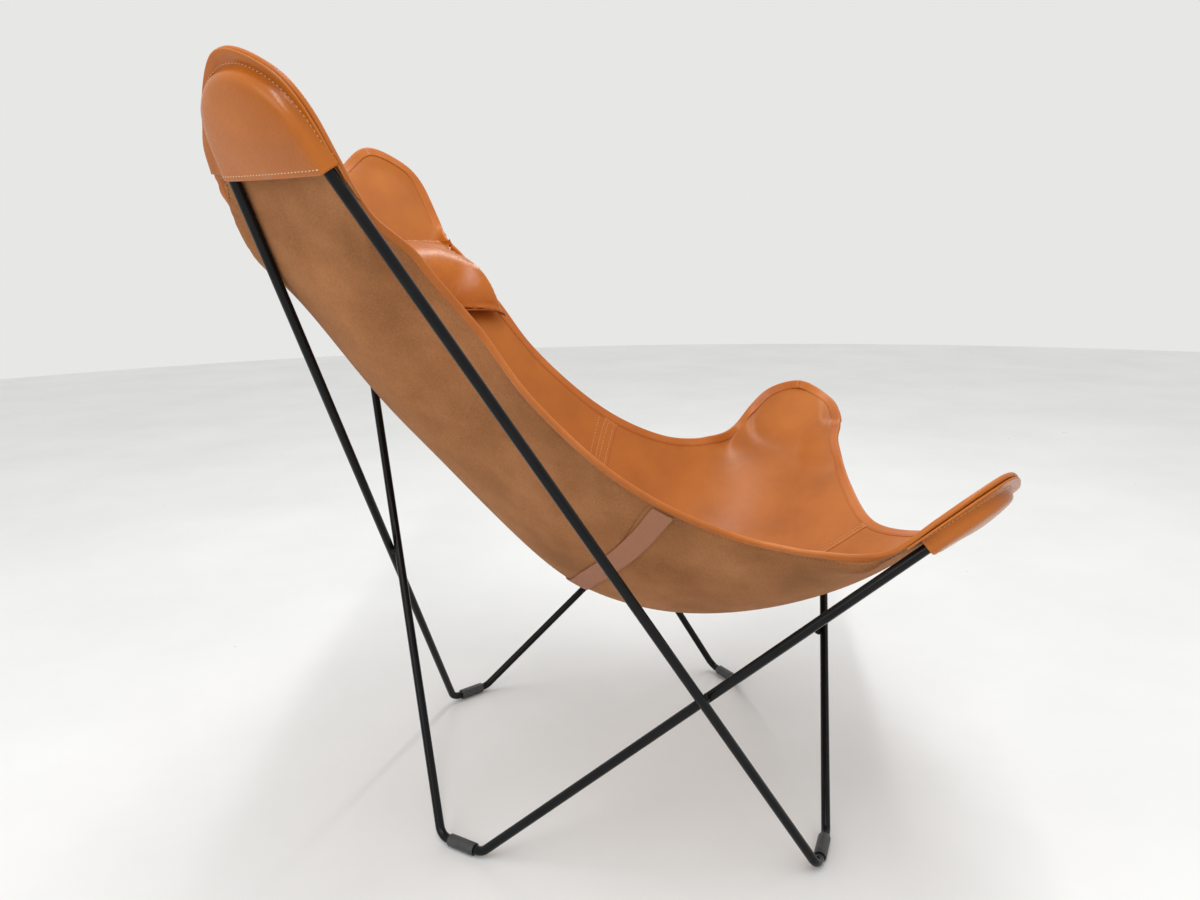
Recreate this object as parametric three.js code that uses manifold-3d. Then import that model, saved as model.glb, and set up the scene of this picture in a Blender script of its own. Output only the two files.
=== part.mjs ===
// Butterfly sling chair: two welded loops of steel rod carry a leather hammock seat by four corner pockets.
// Millimetres, +Z up, the chair faces -Y. Origin on the floor, in the middle of the chair's plan.
import * as THREE from 'three';
import { mergeVertices } from 'three/addons/utils/BufferGeometryUtils.js';
import Module from 'manifold-3d';

const wasm = await Module();
wasm.setup();

// Frame: where the straight runs of the left-hand rods would meet, before the bends are rounded
const rearTipX = 441;
const rearTipY = 454;
const rearTipZ = 1117;
const frontTipX = 439;
const frontTipY = -448;
const frontTipZ = 577;
const rearFootInnerX = 200;
const rearFootInnerY = 262;
const rearFootOuterX = 240;
const rearFootOuterY = 206;
const frontFootInnerX = 225;
const frontFootInnerY = -248;
const frontFootOuterX = 292;
const frontFootOuterY = -216;

// Rod, bends, welds and foot sleeves
const rodDiameter = 12;
const rearTipRadius = 80;
const frontTipRadius = 62;
const footBendRadius = 20;
const sleeveDiameter = 16.4;
const sleeveLength = 42;
const weldRadius = 5.5;
const weldReach = 8.5;

// Leather, webbing and pillow
const leatherThickness = 4;
const pocketThickness = 2.6;
const pocketMargin = 15;
// How much further the leather reaches over the top of a rear bend than beside its legs
const rearCrown = 17;
const rearPocketDrop = 12;
const frontPocketDrop = 6;
// How much wider than the rod's bend the leather gets on the inner side of a pocket's mouth
const innerFlare = 26;
const hemDiameter = 4.8;
const strapWidth = 28;
const strapThickness = 2;
// The strap's share of the sling's half width, its run on the sling's middle and at its ends (the seam's
// run is 1), and the share of the half width where it begins to turn to the front
const strapReach = 0.985;
const strapMiddleRun = 0.978;
const strapEndRun = 1.035;
const strapTurn = 0.4;
// The pillow's shares of the sling's half width on either side at its top, and how much less at its bottom
const pillowShareLeft = 0.998;
const pillowShareRight = 0.945;
const pillowTaper = 0.03;
// Its heights at the middle, how much higher its ends lie and at which share of its half length they level out
const pillowTop = 742;
const pillowBottom = 614;
const pillowRise = 48;
const pillowRiseShare = 0.75;
const pillowThickness = 58;
const pillowEdge = 7;
const pillowFlange = 0.16;
// Where the roll is fullest, how square its ends are
const pillowSlump = 1.5;
const pillowSquareness = 12;

// Below a tip's bend the leather lies in the bend's plane over the flat length, then leaves it over the fade
const rearFlat = 11;
const rearFade = 120;
const frontFlat = 20;
const frontFade = 90;
// Beyond the inner leg it leaves the plane in the same way; across a rod it makes a bow of this radius
const flapFlat = 18;
const flapFade = 45;
const rodBow = 50;

// Clearances between neighbouring pieces
const jointGap = 0.3;
const leatherGap = 0.6;
const pocketEase = 2;
const hemGap = 1.4;
// Hems end this share of a facet short of the sling's corners
const hemStop = 0.25;
const pillowEase = 4;

// Facets
const rodSides = 12;
const tipSteps = 16;
const footSteps = 14;
const hemSides = 6;
const backRows = 26;
const backColumns = 22;
const seatRows = 18;
const seatColumns = 11;
const strapColumns = 26;
// The step of a run over which a length along the sling is measured
const runStep = 0.03;
const pillowRows = 14;
const pillowColumns = 20;
// The sling's shape is worked out on a finer net over its right half, drawn taut in this many rounds
const netRows = 72;
const netColumns = 24;
const tautRounds = 24;
const settlingRounds = 60;

const rodRadius = rodDiameter / 2;
const sleeveRadius = sleeveDiameter / 2;
const hemRadius = hemDiameter / 2;
// The leather's middle surface passes this far inside the plane of a tip's bend
const tipLift = rodRadius + leatherGap + leatherThickness / 2;

const vec = (x, y, z) => new THREE.Vector3(x, y, z);
const mirrored = (point) => vec(-point.x, point.y, point.z);
const clamp01 = (value) => Math.min(Math.max(value, 0), 1);

function along(from, to, distance) {
  const direction = to.clone().sub(from).normalize();
  return from.clone().addScaledVector(direction, distance);
}

function smooth(value) {
  const x = clamp01(value);
  return x * x * (3 - 2 * x);
}

// Finishes
const colours = {
  rod: [0x17181a, 0.42, 0.6],
  sleeve: [0x2b2b2d, 0.75, 0],
  leather: [0xb4632b, 0.45, 0],
  pocket: [0xb9652a, 0.42, 0],
  webbing: [0xb0694f, 0.9, 0],
};

const chair = new THREE.Group();

function addPiece(name, geometry, finish) {
  const [color, roughness, metalness] = colours[finish];
  const material = new THREE.MeshStandardMaterial({ color, roughness, metalness });
  const mesh = new THREE.Mesh(geometry, material);
  mesh.name = name;
  chair.add(mesh);
}

// Solid helpers

function weldedGeometry(geometry) {
  geometry.deleteAttribute('normal');
  geometry.deleteAttribute('uv');
  return mergeVertices(geometry);
}

function toSolid(geometry) {
  const merged = weldedGeometry(geometry);
  const vertProperties = new Float32Array(merged.attributes.position.array);
  const triVerts = new Uint32Array(merged.index.array);
  return new wasm.Manifold(new wasm.Mesh({ numProp: 3, vertProperties, triVerts }));
}

function fromSolid(solid) {
  const mesh = solid.getMesh();
  const geometry = new THREE.BufferGeometry();
  geometry.setAttribute('position', new THREE.BufferAttribute(new Float32Array(mesh.vertProperties), 3));
  geometry.setIndex(new THREE.BufferAttribute(new Uint32Array(mesh.triVerts), 1));
  return geometry;
}

// A regular polygon whose flats lie at the given radius, one of them facing the shape's x axis
function polygonPoints(sides, flatRadius) {
  const cornerRadius = flatRadius / Math.cos(Math.PI / sides);
  const points = [];
  for (let i = 0; i < sides; i += 1) {
    const angle = (i + 0.5) * 2 * Math.PI / sides;
    points.push(new THREE.Vector2(cornerRadius * Math.cos(angle), cornerRadius * Math.sin(angle)));
  }
  return points;
}

function sweep(path, shape, steps) {
  return new THREE.ExtrudeGeometry(shape, { steps, extrudePath: path, bevelEnabled: false });
}

function rodAlong(path, steps, radius = rodRadius) {
  return sweep(path, new THREE.Shape(polygonPoints(rodSides, radius * Math.cos(Math.PI / rodSides))), steps);
}

// Unit normals of a grid of points, grid[row][column]
function gridNormals(grid) {
  const normals = grid.map((row) => row.map(() => vec(0, 0, 0)));
  const addFacet = (cells) => {
    const [a, b, c] = cells.map(([i, j]) => grid[i][j]);
    const normal = b.clone().sub(a).cross(c.clone().sub(a));
    for (const [i, j] of cells) {
      normals[i][j].add(normal);
    }
  };
  for (let i = 0; i < grid.length - 1; i += 1) {
    for (let j = 0; j < grid[0].length - 1; j += 1) {
      addFacet([[i, j], [i + 1, j], [i + 1, j + 1]]);
      addFacet([[i, j], [i + 1, j + 1], [i, j + 1]]);
    }
  }
  return normals.map((row) => row.map((normal) => normal.normalize()));
}

// A closed sheet of even thickness over a grid of middle points
function sheetGeometry(grid, thickness) {
  const normals = gridNormals(grid);
  const positions = [];
  for (const side of [0.5, -0.5]) {
    grid.forEach((row, i) => row.forEach((middle, j) => {
      const point = middle.clone().addScaledVector(normals[i][j], side * thickness);
      positions.push(point.x, point.y, point.z);
    }));
  }
  return closedGrid(positions, grid.length, grid[0].length);
}

// Two stacked grids of equal size, sewn together along their rims
function closedGrid(positions, rows, columns) {
  const lower = rows * columns;
  const at = (i, j) => i * columns + j;
  const index = [];
  for (let i = 0; i < rows - 1; i += 1) {
    for (let j = 0; j < columns - 1; j += 1) {
      const [a, b, c, d] = [at(i, j), at(i + 1, j), at(i + 1, j + 1), at(i, j + 1)];
      index.push(a, b, c, a, c, d);
      index.push(lower + a, lower + c, lower + b, lower + a, lower + d, lower + c);
    }
  }
  const rim = [];
  for (let i = 0; i < rows - 1; i += 1) {
    rim.push([at(i, 0), at(i + 1, 0)]);
    rim.push([at(i + 1, columns - 1), at(i, columns - 1)]);
  }
  for (let j = 0; j < columns - 1; j += 1) {
    rim.push([at(0, j + 1), at(0, j)]);
    rim.push([at(rows - 1, j), at(rows - 1, j + 1)]);
  }
  for (const [a, b] of rim) {
    index.push(a, lower + a, lower + b, a, lower + b, b);
  }
  return facingOut(positions, index);
}

// Turns every face over if the solid came out inside out
function facingOut(positions, index) {
  const corner = (k) => vec(positions[3 * k], positions[3 * k + 1], positions[3 * k + 2]);
  let volume = 0;
  for (let k = 0; k < index.length; k += 3) {
    volume += corner(index[k]).dot(corner(index[k + 1]).cross(corner(index[k + 2])));
  }
  const faces = volume > 0 ? index : index.slice().reverse();
  const geometry = new THREE.BufferGeometry();
  geometry.setAttribute('position', new THREE.Float32BufferAttribute(positions, 3));
  geometry.setIndex(faces);
  return geometry;
}

// Frame

// A round bend that replaces the corner between two straight runs
class Bend extends THREE.Curve {
  constructor(from, corner, to, radius) {
    super();
    const a = from.clone().sub(corner).normalize();
    const b = to.clone().sub(corner).normalize();
    const half = a.angleTo(b) / 2;
    const middle = a.clone().add(b).normalize();
    this.start = corner.clone().addScaledVector(a, radius / Math.tan(half));
    this.end = corner.clone().addScaledVector(b, radius / Math.tan(half));
    this.centre = corner.clone().addScaledVector(middle, radius / Math.sin(half));
    this.inward = middle;
    this.across = b.clone().sub(a).normalize();
    this.sweepHalf = Math.PI / 2 - half;
    this.radius = radius;
  }

  getPoint(t, target = vec(0, 0, 0)) {
    const angle = (2 * t - 1) * this.sweepHalf;
    return target.copy(this.centre)
      .addScaledVector(this.inward, -this.radius * Math.cos(angle))
      .addScaledVector(this.across, this.radius * Math.sin(angle));
  }
}

const rearTip = vec(rearTipX, rearTipY, rearTipZ);
const frontTip = vec(frontTipX, frontTipY, frontTipZ);
const rearFoot = {
  inner: vec(rearFootInnerX, rearFootInnerY, sleeveRadius),
  outer: vec(rearFootOuterX, rearFootOuterY, sleeveRadius),
};
const frontFoot = {
  inner: vec(frontFootInnerX, frontFootInnerY, sleeveRadius),
  outer: vec(frontFootOuterX, frontFootOuterY, sleeveRadius),
};

function movedFoot(foot, x, y) {
  const step = vec(x, y, 0);
  return { inner: foot.inner.clone().add(step), outer: foot.outer.clone().add(step) };
}

function mirroredFoot(foot) {
  return { inner: mirrored(foot.inner), outer: mirrored(foot.outer) };
}

// The outer loop stands on the right front and left rear feet, the inner loop on the other two
function loopCorners(setOut) {
  const outerLoop = {
    rearTip: mirrored(rearTip),
    frontFoot: mirroredFoot(movedFoot(frontFoot, setOut.right, -setOut.front)),
    frontTip,
    rearFoot: movedFoot(rearFoot, setOut.left, setOut.rear),
  };
  const innerLoop = {
    rearTip,
    frontFoot: movedFoot(frontFoot, -setOut.left, setOut.front),
    frontTip: mirrored(frontTip),
    rearFoot: mirroredFoot(movedFoot(rearFoot, -setOut.right, -setOut.rear)),
  };
  return { outerLoop, innerLoop };
}

// How far line a lies beyond line b, measured on their common normal towards the given side
function lineGap(a, b, side) {
  const normal = a[1].clone().sub(a[0]).cross(b[1].clone().sub(b[0])).normalize();
  const gap = a[0].clone().sub(b[0]).dot(normal);
  return normal.dot(side) > 0 ? gap : -gap;
}

// The four places where the loops cross: the outer loop's rod, the inner loop's rod, and the outer one's side
function crossingsOf({ outerLoop: a, innerLoop: b }) {
  return {
    right: [[a.rearTip, a.frontFoot.outer], [b.frontTip, b.rearFoot.outer], vec(-1, 0, 0)],
    left: [[a.frontTip, a.rearFoot.outer], [b.rearTip, b.frontFoot.outer], vec(1, 0, 0)],
    rear: [[a.rearTip, a.rearFoot.inner], [b.rearTip, b.rearFoot.inner], vec(0, 1, 0)],
    front: [[a.frontTip, a.frontFoot.inner], [b.frontTip, b.frontFoot.inner], vec(0, -1, 0)],
  };
}

// The feet are set apart until the rods just clear at every crossing
function solveLoops() {
  const setOut = { right: rodDiameter, left: rodDiameter, front: rodDiameter, rear: rodDiameter };
  let loops = loopCorners(setOut);
  for (let round = 0; round < settlingRounds; round += 1) {
    for (const [place, [first, second, side]] of Object.entries(crossingsOf(loops))) {
      setOut[place] += 0.5 * (rodDiameter + jointGap - lineGap(first, second, side));
    }
    loops = loopCorners(setOut);
  }
  return loops;
}

const { outerLoop, innerLoop } = solveLoops();

function loopBends(loop) {
  const { rearTip: rear, frontTip: front, frontFoot: ff, rearFoot: rf } = loop;
  return {
    rearTip: new Bend(ff.outer, rear, rf.inner, rearTipRadius),
    frontTip: new Bend(rf.outer, front, ff.inner, frontTipRadius),
    frontFootOuter: new Bend(rear, ff.outer, ff.inner, footBendRadius),
    frontFootInner: new Bend(ff.outer, ff.inner, front, footBendRadius),
    rearFootInner: new Bend(rear, rf.inner, rf.outer, footBendRadius),
    rearFootOuter: new Bend(rf.inner, rf.outer, front, footBendRadius),
  };
}

// A straight leg, butt welded to the bends at both ends
function legPath(from, to) {
  return new THREE.LineCurve3(along(from, to, jointGap / 2), along(to, from, jointGap / 2));
}

function footPath(first, second) {
  const path = new THREE.CurvePath();
  path.add(first);
  path.add(new THREE.LineCurve3(first.end, second.start));
  path.add(second);
  return path;
}

function sleeveOn(first, second) {
  const middle = first.end.clone().add(second.start).multiplyScalar(0.5);
  const start = along(middle, first.end, sleeveLength / 2);
  const end = along(middle, second.start, sleeveLength / 2);
  const shape = new THREE.Shape(polygonPoints(rodSides, sleeveRadius));
  shape.holes.push(new THREE.Path(polygonPoints(rodSides, rodRadius + jointGap)));
  return sweep(new THREE.LineCurve3(start, end), shape, 1);
}

function addLoop(loop, rearSide, frontSide, rearFootSide, frontFootSide) {
  const bends = loopBends(loop);
  const legs = [
    [`rear_${rearSide}_side_leg`, bends.rearTip.start, bends.frontFootOuter.start],
    [`rear_${rearSide}_back_leg`, bends.rearTip.end, bends.rearFootInner.start],
    [`front_${frontSide}_side_leg`, bends.frontTip.start, bends.rearFootOuter.end],
    [`front_${frontSide}_front_leg`, bends.frontTip.end, bends.frontFootInner.end],
  ];
  for (const [name, from, to] of legs) {
    addPiece(name, rodAlong(legPath(from, to), 1), 'rod');
  }
  addPiece(`rear_${rearSide}_tip_bend`, rodAlong(bends.rearTip, tipSteps), 'rod');
  addPiece(`front_${frontSide}_tip_bend`, rodAlong(bends.frontTip, tipSteps), 'rod');
  const feet = [
    [`rear_${rearFootSide}_foot`, bends.rearFootInner, bends.rearFootOuter],
    [`front_${frontFootSide}_foot`, bends.frontFootOuter, bends.frontFootInner],
  ];
  for (const [name, first, second] of feet) {
    addPiece(`${name}_bend`, rodAlong(footPath(first, second), footSteps), 'rod');
    addPiece(`${name}_sleeve`, sleeveOn(first, second), 'sleeve');
  }
}

// A weld bead fills the crotch where two rods cross; the rods themselves are left out of it
function weldBead(a, b, side) {
  const directionA = a[1].clone().sub(a[0]).normalize();
  const directionB = b[1].clone().sub(b[0]).normalize();
  const normal = directionA.clone().cross(directionB).normalize();
  const offset = b[0].clone().sub(a[0]);
  const cross = directionB.clone().cross(normal);
  const onA = a[0].clone().addScaledVector(directionA, offset.dot(cross) / directionA.dot(cross));
  const gap = offset.dot(normal);
  const crotch = directionA.clone().add(directionB).normalize();
  if (crotch.dot(side) < 0) {
    crotch.negate();
  }
  const centre = onA.addScaledVector(normal, gap / 2).addScaledVector(crotch, weldReach);
  const bead = new THREE.IcosahedronGeometry(weldRadius, 2).translate(centre.x, centre.y, centre.z);
  const rods = [a, b].map(([from, to]) => {
    const path = new THREE.LineCurve3(from, to);
    return toSolid(rodAlong(path, 1, rodRadius + jointGap));
  });
  return fromSolid(toSolid(bead).subtract(rods[0]).subtract(rods[1]));
}

function addWelds() {
  const crossings = crossingsOf({ outerLoop, innerLoop });
  const beads = [
    ['right_side_weld', crossings.right, vec(0, -1, 0)],
    ['left_side_weld', crossings.left, vec(0, -1, 0)],
    ['rear_weld', crossings.rear, vec(0, 0, -1)],
    ['front_weld', crossings.front, vec(0, 0, -1)],
  ];
  for (const [name, [first, second], crotchSide] of beads) {
    addPiece(name, weldBead(first, second, crotchSide), 'rod');
  }
}

// Sling surface

// The plane of a tip bend: down the tip, across it towards the chair's middle, and up through the leather
function tipPlane(corner, sideFoot, middleFoot, radius, crown) {
  const bend = new Bend(sideFoot, corner, middleFoot, radius);
  const lift = bend.inward.clone().cross(bend.across).normalize();
  if (lift.z < 0) {
    lift.negate();
  }
  const half = Math.PI / 2 - bend.sweepHalf;
  return { centre: bend.centre, down: bend.inward, across: bend.across, lift, radius, half, crown };
}

const rearPlane = tipPlane(
  mirrored(rearTip), mirrored(frontFoot.outer), rearFoot.inner, rearTipRadius, rearCrown);
const frontPlane = tipPlane(mirrored(frontTip), mirrored(rearFoot.outer), frontFoot.inner, frontTipRadius, 0);

function onTip(plane, downwards, sideways, upwards) {
  return plane.centre.clone()
    .addScaledVector(plane.down, downwards)
    .addScaledVector(plane.across, sideways)
    .addScaledVector(plane.lift, upwards);
}

// A point of the leather's rounded corner, at an angle from the corner's top, positive towards the middle
function cornerPoint(plane, degrees, flare = 0) {
  const angle = degrees * Math.PI / 180;
  const reach = plane.radius + pocketMargin + flare;
  return onTip(plane, -(reach + plane.crown) * Math.cos(angle), reach * Math.sin(angle), tipLift);
}

// Places of the sling, as shares of the rear tip's and of the front tip's distances from the origin
const onBack = (x, y, z) => vec(x * rearTipX, y * rearTipY, z * rearTipZ);
const onSeat = (x, y, z) => vec(x * frontTipX, y * frontTipY, z * frontTipZ);

// Right-hand free edge of the sling, from the rear corner to the front corner
const sideEdge = new THREE.CatmullRomCurve3([
  cornerPoint(rearPlane, 0),
  cornerPoint(rearPlane, -42),
  cornerPoint(rearPlane, -63),
  onBack(-0.884, 0.587, 0.747),
  onBack(-0.785, 0.530, 0.712),
  onBack(-0.714, 0.468, 0.671),
  onBack(-0.673, 0.360, 0.613),
  onBack(-0.689, 0.250, 0.549),
  onBack(-0.701, 0.099, 0.485),
  onSeat(-0.682, 0.052, 0.847),
  onSeat(-0.683, 0.212, 0.783),
  onSeat(-0.718, 0.353, 0.752),
  onSeat(-0.801, 0.500, 0.753),
  cornerPoint(frontPlane, -82),
  cornerPoint(frontPlane, -42),
  cornerPoint(frontPlane, 0),
], false, 'catmullrom', 0.5);

// An edge from corner to corner over the chair's middle, given by its right half
function crossEdge(rightHalf, middle) {
  const leftHalf = rightHalf.slice().reverse().map(mirrored);
  return new THREE.CatmullRomCurve3([...rightHalf, middle, ...leftHalf], false, 'catmullrom', 0.5);
}

const topMiddle = onBack(0, 0.978, 0.706);
const frontMiddle = onSeat(0, 0.875, 0.626);
const topEdge = crossEdge([
  cornerPoint(rearPlane, 0),
  cornerPoint(rearPlane, 42, -innerFlare / 6),
  cornerPoint(rearPlane, 73),
  cornerPoint(rearPlane, 86, innerFlare / 2),
  onBack(-0.520, 0.952, 0.744),
  onBack(-0.340, 0.965, 0.719),
], topMiddle);
const frontEdge = crossEdge([
  cornerPoint(frontPlane, 0),
  cornerPoint(frontPlane, 45),
  cornerPoint(frontPlane, 74, innerFlare / 2),
  cornerPoint(frontPlane, 94, innerFlare),
  onSeat(-0.544, 0.924, 0.754),
  onSeat(-0.319, 0.900, 0.669),
], frontMiddle);

// Middle line from the top edge to the front edge
const middleLine = new THREE.CatmullRomCurve3([
  topMiddle,
  onBack(0, 0.716, 0.536),
  onBack(0, 0.562, 0.455),
  onBack(0, 0.414, 0.380),
  onBack(0, 0.269, 0.315),
  onBack(0, 0.121, 0.263),
  onSeat(0, 0.078, 0.447),
  onSeat(0, 0.257, 0.432),
  onSeat(0, 0.435, 0.451),
  onSeat(0, 0.598, 0.499),
  onSeat(0, 0.741, 0.558),
  frontMiddle,
], false, 'catmullrom', 0.5);

// The seam between back and seat lies at these shares of the side edge and of the middle line
const seamOnSide = 9 / 15;
const seamOnMiddle = 5 / 11;
// How far the rounded corners reach into the sling, as a share of one panel
const cornerFade = 0.75;

// Run: 0 at the top edge, 1 at the seam between back and seat, 2 at the front edge
function runShare(run, seam) {
  return run <= 1 ? run * seam : seam + (run - 1) * (1 - seam);
}

// A hammock row: a parabola between the side edge and the middle line
function hammockRow(spread, run) {
  const side = sideEdge.getPoint(runShare(run, seamOnSide));
  const middle = middleLine.getPoint(runShare(run, seamOnMiddle));
  const point = middle.lerp(side, spread * spread);
  point.x = side.x * spread;
  return point;
}

// Draws a point onto the plane of a tip bend, less and less below the bend and beyond its inner leg.
// Beside the bend's legs the leather stays over the rods.
function drawnToTip(point, plane, flatReach, fadeReach) {
  const from = point.clone().sub(plane.centre);
  const down = from.dot(plane.down);
  const side = from.dot(plane.across);
  const height = from.dot(plane.lift);
  const past = Math.abs(side) * Math.cos(plane.half) - down * Math.sin(plane.half) - plane.radius;
  const beyond = side > 0 ? smooth((past - flapFlat) / flapFade) : 0;
  const share = (1 - beyond) * (1 - smooth((down - flatReach) / fadeReach));
  const drawn = height + (tipLift - height) * share;
  const overRod = tipLift - past * past / (2 * rodBow);
  return point.addScaledVector(plane.lift, (down > 0 ? Math.max(drawn, overRod) : drawn) - height);
}

// First draft of the right half; spread runs from 0 at the middle to 1 at the side edge
function draftPoint(spread, run) {
  const point = hammockRow(spread, run);
  const topShare = 1 - smooth(run / cornerFade);
  const frontShare = 1 - smooth((2 - run) / cornerFade);
  const edgePlace = (1 - spread) / 2;
  point.addScaledVector(topEdge.getPointAt(edgePlace).sub(hammockRow(spread, 0)), topShare);
  point.addScaledVector(frontEdge.getPointAt(edgePlace).sub(hammockRow(spread, 2)), frontShare);
  return drawnToTips(point, run);
}

function drawnToTips(point, run) {
  return run < 1
    ? drawnToTip(point, rearPlane, rearFlat, rearFade)
    : drawnToTip(point, frontPlane, frontFlat, frontFade);
}

// The draft is pulled taut: inside its edges every point settles between its neighbours
function tautNet() {
  let net = [];
  for (let i = 0; i <= netRows; i += 1) {
    const row = [];
    for (let j = 0; j <= netColumns; j += 1) {
      row.push(draftPoint(j / netColumns, 2 * i / netRows));
    }
    net.push(row);
  }
  for (let round = 0; round < tautRounds; round += 1) {
    net = net.map((row, i) => row.map((point, j) => {
      if (i === 0 || i === netRows || j === netColumns) {
        return point;
      }
      const beside = j === 0 ? mirrored(row[1]) : row[j - 1];
      const settled = vec(0, 0, 0).add(beside).add(row[j + 1]).add(net[i - 1][j]).add(net[i + 1][j]);
      settled.multiplyScalar(0.25).lerp(point, 0.5);
      return drawnToTips(settled, 2 * i / netRows);
    }));
  }
  return net;
}

const slingNet = tautNet();

// The sling's middle surface; across runs from -1 at the right edge to 1 at the left edge
function slingPoint(across, run) {
  const column = Math.abs(across) * netColumns;
  const row = run / 2 * netRows;
  const j = Math.min(Math.floor(column), netColumns - 1);
  const i = Math.min(Math.floor(row), netRows - 1);
  const near = slingNet[i][j].clone().lerp(slingNet[i][j + 1], column - j);
  const far = slingNet[i + 1][j].clone().lerp(slingNet[i + 1][j + 1], column - j);
  const point = near.lerp(far, row - i);
  return across > 0 ? mirrored(point) : point;
}

// Unit normal on the sitter's side
function slingNormal(across, run) {
  const step = 0.01;
  const a = Math.min(Math.max(across, -1 + step), 1 - step);
  const r = Math.min(Math.max(run, step), 2 - step);
  const sideways = slingPoint(a + step, r).sub(slingPoint(a - step, r));
  const onward = slingPoint(a, r + step).sub(slingPoint(a, r - step));
  return onward.cross(sideways).normalize();
}

function slingGrid(acrossFrom, acrossTo, columns, runFrom, runTo, rows) {
  const grid = [];
  for (let i = 0; i <= rows; i += 1) {
    const run = runFrom + (runTo - runFrom) * i / rows;
    const row = [];
    for (let j = 0; j <= columns; j += 1) {
      row.push(slingPoint(acrossFrom + (acrossTo - acrossFrom) * j / columns, run));
    }
    grid.push(row);
  }
  return grid;
}

// The length of the middle line over one panel turns a gap in millimetres into a step of the run
const panelLength = middleLine.getLength() / 2;
const seamStep = jointGap / panelLength;
const middleStep = jointGap / (2 * Math.abs(sideEdge.getPoint(seamOnSide).x));

const panels = {
  back: slingGrid(-1, 1, backColumns, 0, 1 - seamStep, backRows),
  seatRight: slingGrid(-1, -middleStep, seatColumns, 1 + seamStep, 2, seatRows),
  seatLeft: slingGrid(middleStep, 1, seatColumns, 1 + seamStep, 2, seatRows),
};

function addPanels() {
  addPiece('sling_back_panel', sheetGeometry(panels.back, leatherThickness), 'leather');
  addPiece('sling_seat_right_half', sheetGeometry(panels.seatRight, leatherThickness), 'leather');
  addPiece('sling_seat_left_half', sheetGeometry(panels.seatLeft, leatherThickness), 'leather');
}

// Corner pockets

// A pocket is round above this distance from the bend's centre, and follows the straight legs below it
function roundPart(plane, downwards) {
  return downwards < -(plane.radius + pocketMargin) * Math.sin(plane.half);
}

function pocketHalfWidth(plane, downwards) {
  const reach = plane.radius + pocketMargin;
  if (roundPart(plane, downwards)) {
    const start = -reach * Math.sin(plane.half);
    const squeezed = start + (downwards - start) * (reach + start) / (reach + plane.crown + start);
    return Math.sqrt(reach * reach - squeezed * squeezed);
  }
  return reach / Math.cos(plane.half) + downwards * Math.tan(plane.half);
}

// The pocket wraps the outside of the bend and meets the sling at its rim
function pocketPoint(plane, downwards, share) {
  const halfWidth = pocketHalfWidth(plane, downwards);
  const sideways = share * halfWidth;
  const fromCentre = roundPart(plane, downwards)
    ? Math.hypot(downwards, sideways)
    : Math.abs(sideways) * Math.cos(plane.half) - downwards * Math.sin(plane.half);
  const inset = plane.radius + pocketMargin - fromCentre;
  const rimLift = tipLift - leatherThickness / 2 - pocketThickness / 2 - leatherGap;
  const backLift = -(rodRadius + pocketEase + pocketThickness / 2);
  const lift = rimLift + (backLift - rimLift) * smooth(inset / (pocketMargin - rodRadius));
  return onTip(plane, downwards, sideways, lift);
}

// The pocket's first row lies this far below the round's top, where the round has some width
const pocketTopRow = 0.5;
// Shares of the way in from the rim to the middle, close together where the leather turns round the rod
const pocketShares = [0, 0.03, 0.06, 0.09, 0.13, 0.17, 0.21, 0.26, 0.38, 0.66, 1];

function pocketGeometry(plane, drop) {
  const reach = plane.radius + pocketMargin;
  const levels = pocketShares.map((share) => (share - 1) * reach);
  if (plane.crown > 0) {
    levels.unshift(-reach - plane.crown, -reach - plane.crown / 2);
  }
  levels[0] += pocketTopRow;
  levels.push(drop / 2, drop);
  const inward = pocketShares.map((share) => share - 1);
  const columns = inward.concat(inward.slice(0, -1).reverse().map((share) => -share));
  const grid = levels.map((downwards) => columns.map((share) => pocketPoint(plane, downwards, share)));
  return sheetGeometry(grid, pocketThickness);
}

// Each pocket is cut to its own tip: the right rear and left front tips belong to the outer loop
function addPockets() {
  const tips = [
    ['right', 'left', outerLoop],
    ['left', 'right', innerLoop],
  ];
  for (const [rearSide, frontSide, loop] of tips) {
    const rear = tipPlane(loop.rearTip, loop.frontFoot.outer, loop.rearFoot.inner, rearTipRadius, rearCrown);
    const front = tipPlane(loop.frontTip, loop.rearFoot.outer, loop.frontFoot.inner, frontTipRadius, 0);
    addPiece(`rear_${rearSide}_pocket`, pocketGeometry(rear, rearPocketDrop), 'pocket');
    addPiece(`front_${frontSide}_pocket`, pocketGeometry(front, frontPocketDrop), 'pocket');
  }
}

// Hem, strap and pillow

// A path that turns only at its stations, so that a swept hem keeps beside the facets of the leather's edge
class StationPath extends THREE.Curve {
  constructor(stations) {
    super();
    this.stations = stations;
  }

  getPoint(t, target = vec(0, 0, 0)) {
    const place = clamp01(t) * (this.stations.length - 1);
    const before = Math.min(Math.floor(place + 1e-6), this.stations.length - 2);
    return target.lerpVectors(this.stations[before], this.stations[before + 1], place - before);
  }

  getPointAt(u, target) {
    return this.getPoint(u, target);
  }

  getTangentAt(u, target = vec(0, 0, 0)) {
    const step = 0.5 / (this.stations.length - 1);
    return target.copy(this.getPoint(u + step)).sub(this.getPoint(u - step)).normalize();
  }
}

// Points and normals of a panel along one of its edges
function edgeOf(grid, pick) {
  const normals = gridNormals(grid);
  const edge = [];
  grid.forEach((row, i) => row.forEach((point, j) => {
    if (pick(i, j, grid.length - 1, row.length - 1)) {
      edge.push({ point, normal: normals[i][j] });
    }
  }));
  return edge;
}

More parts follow.
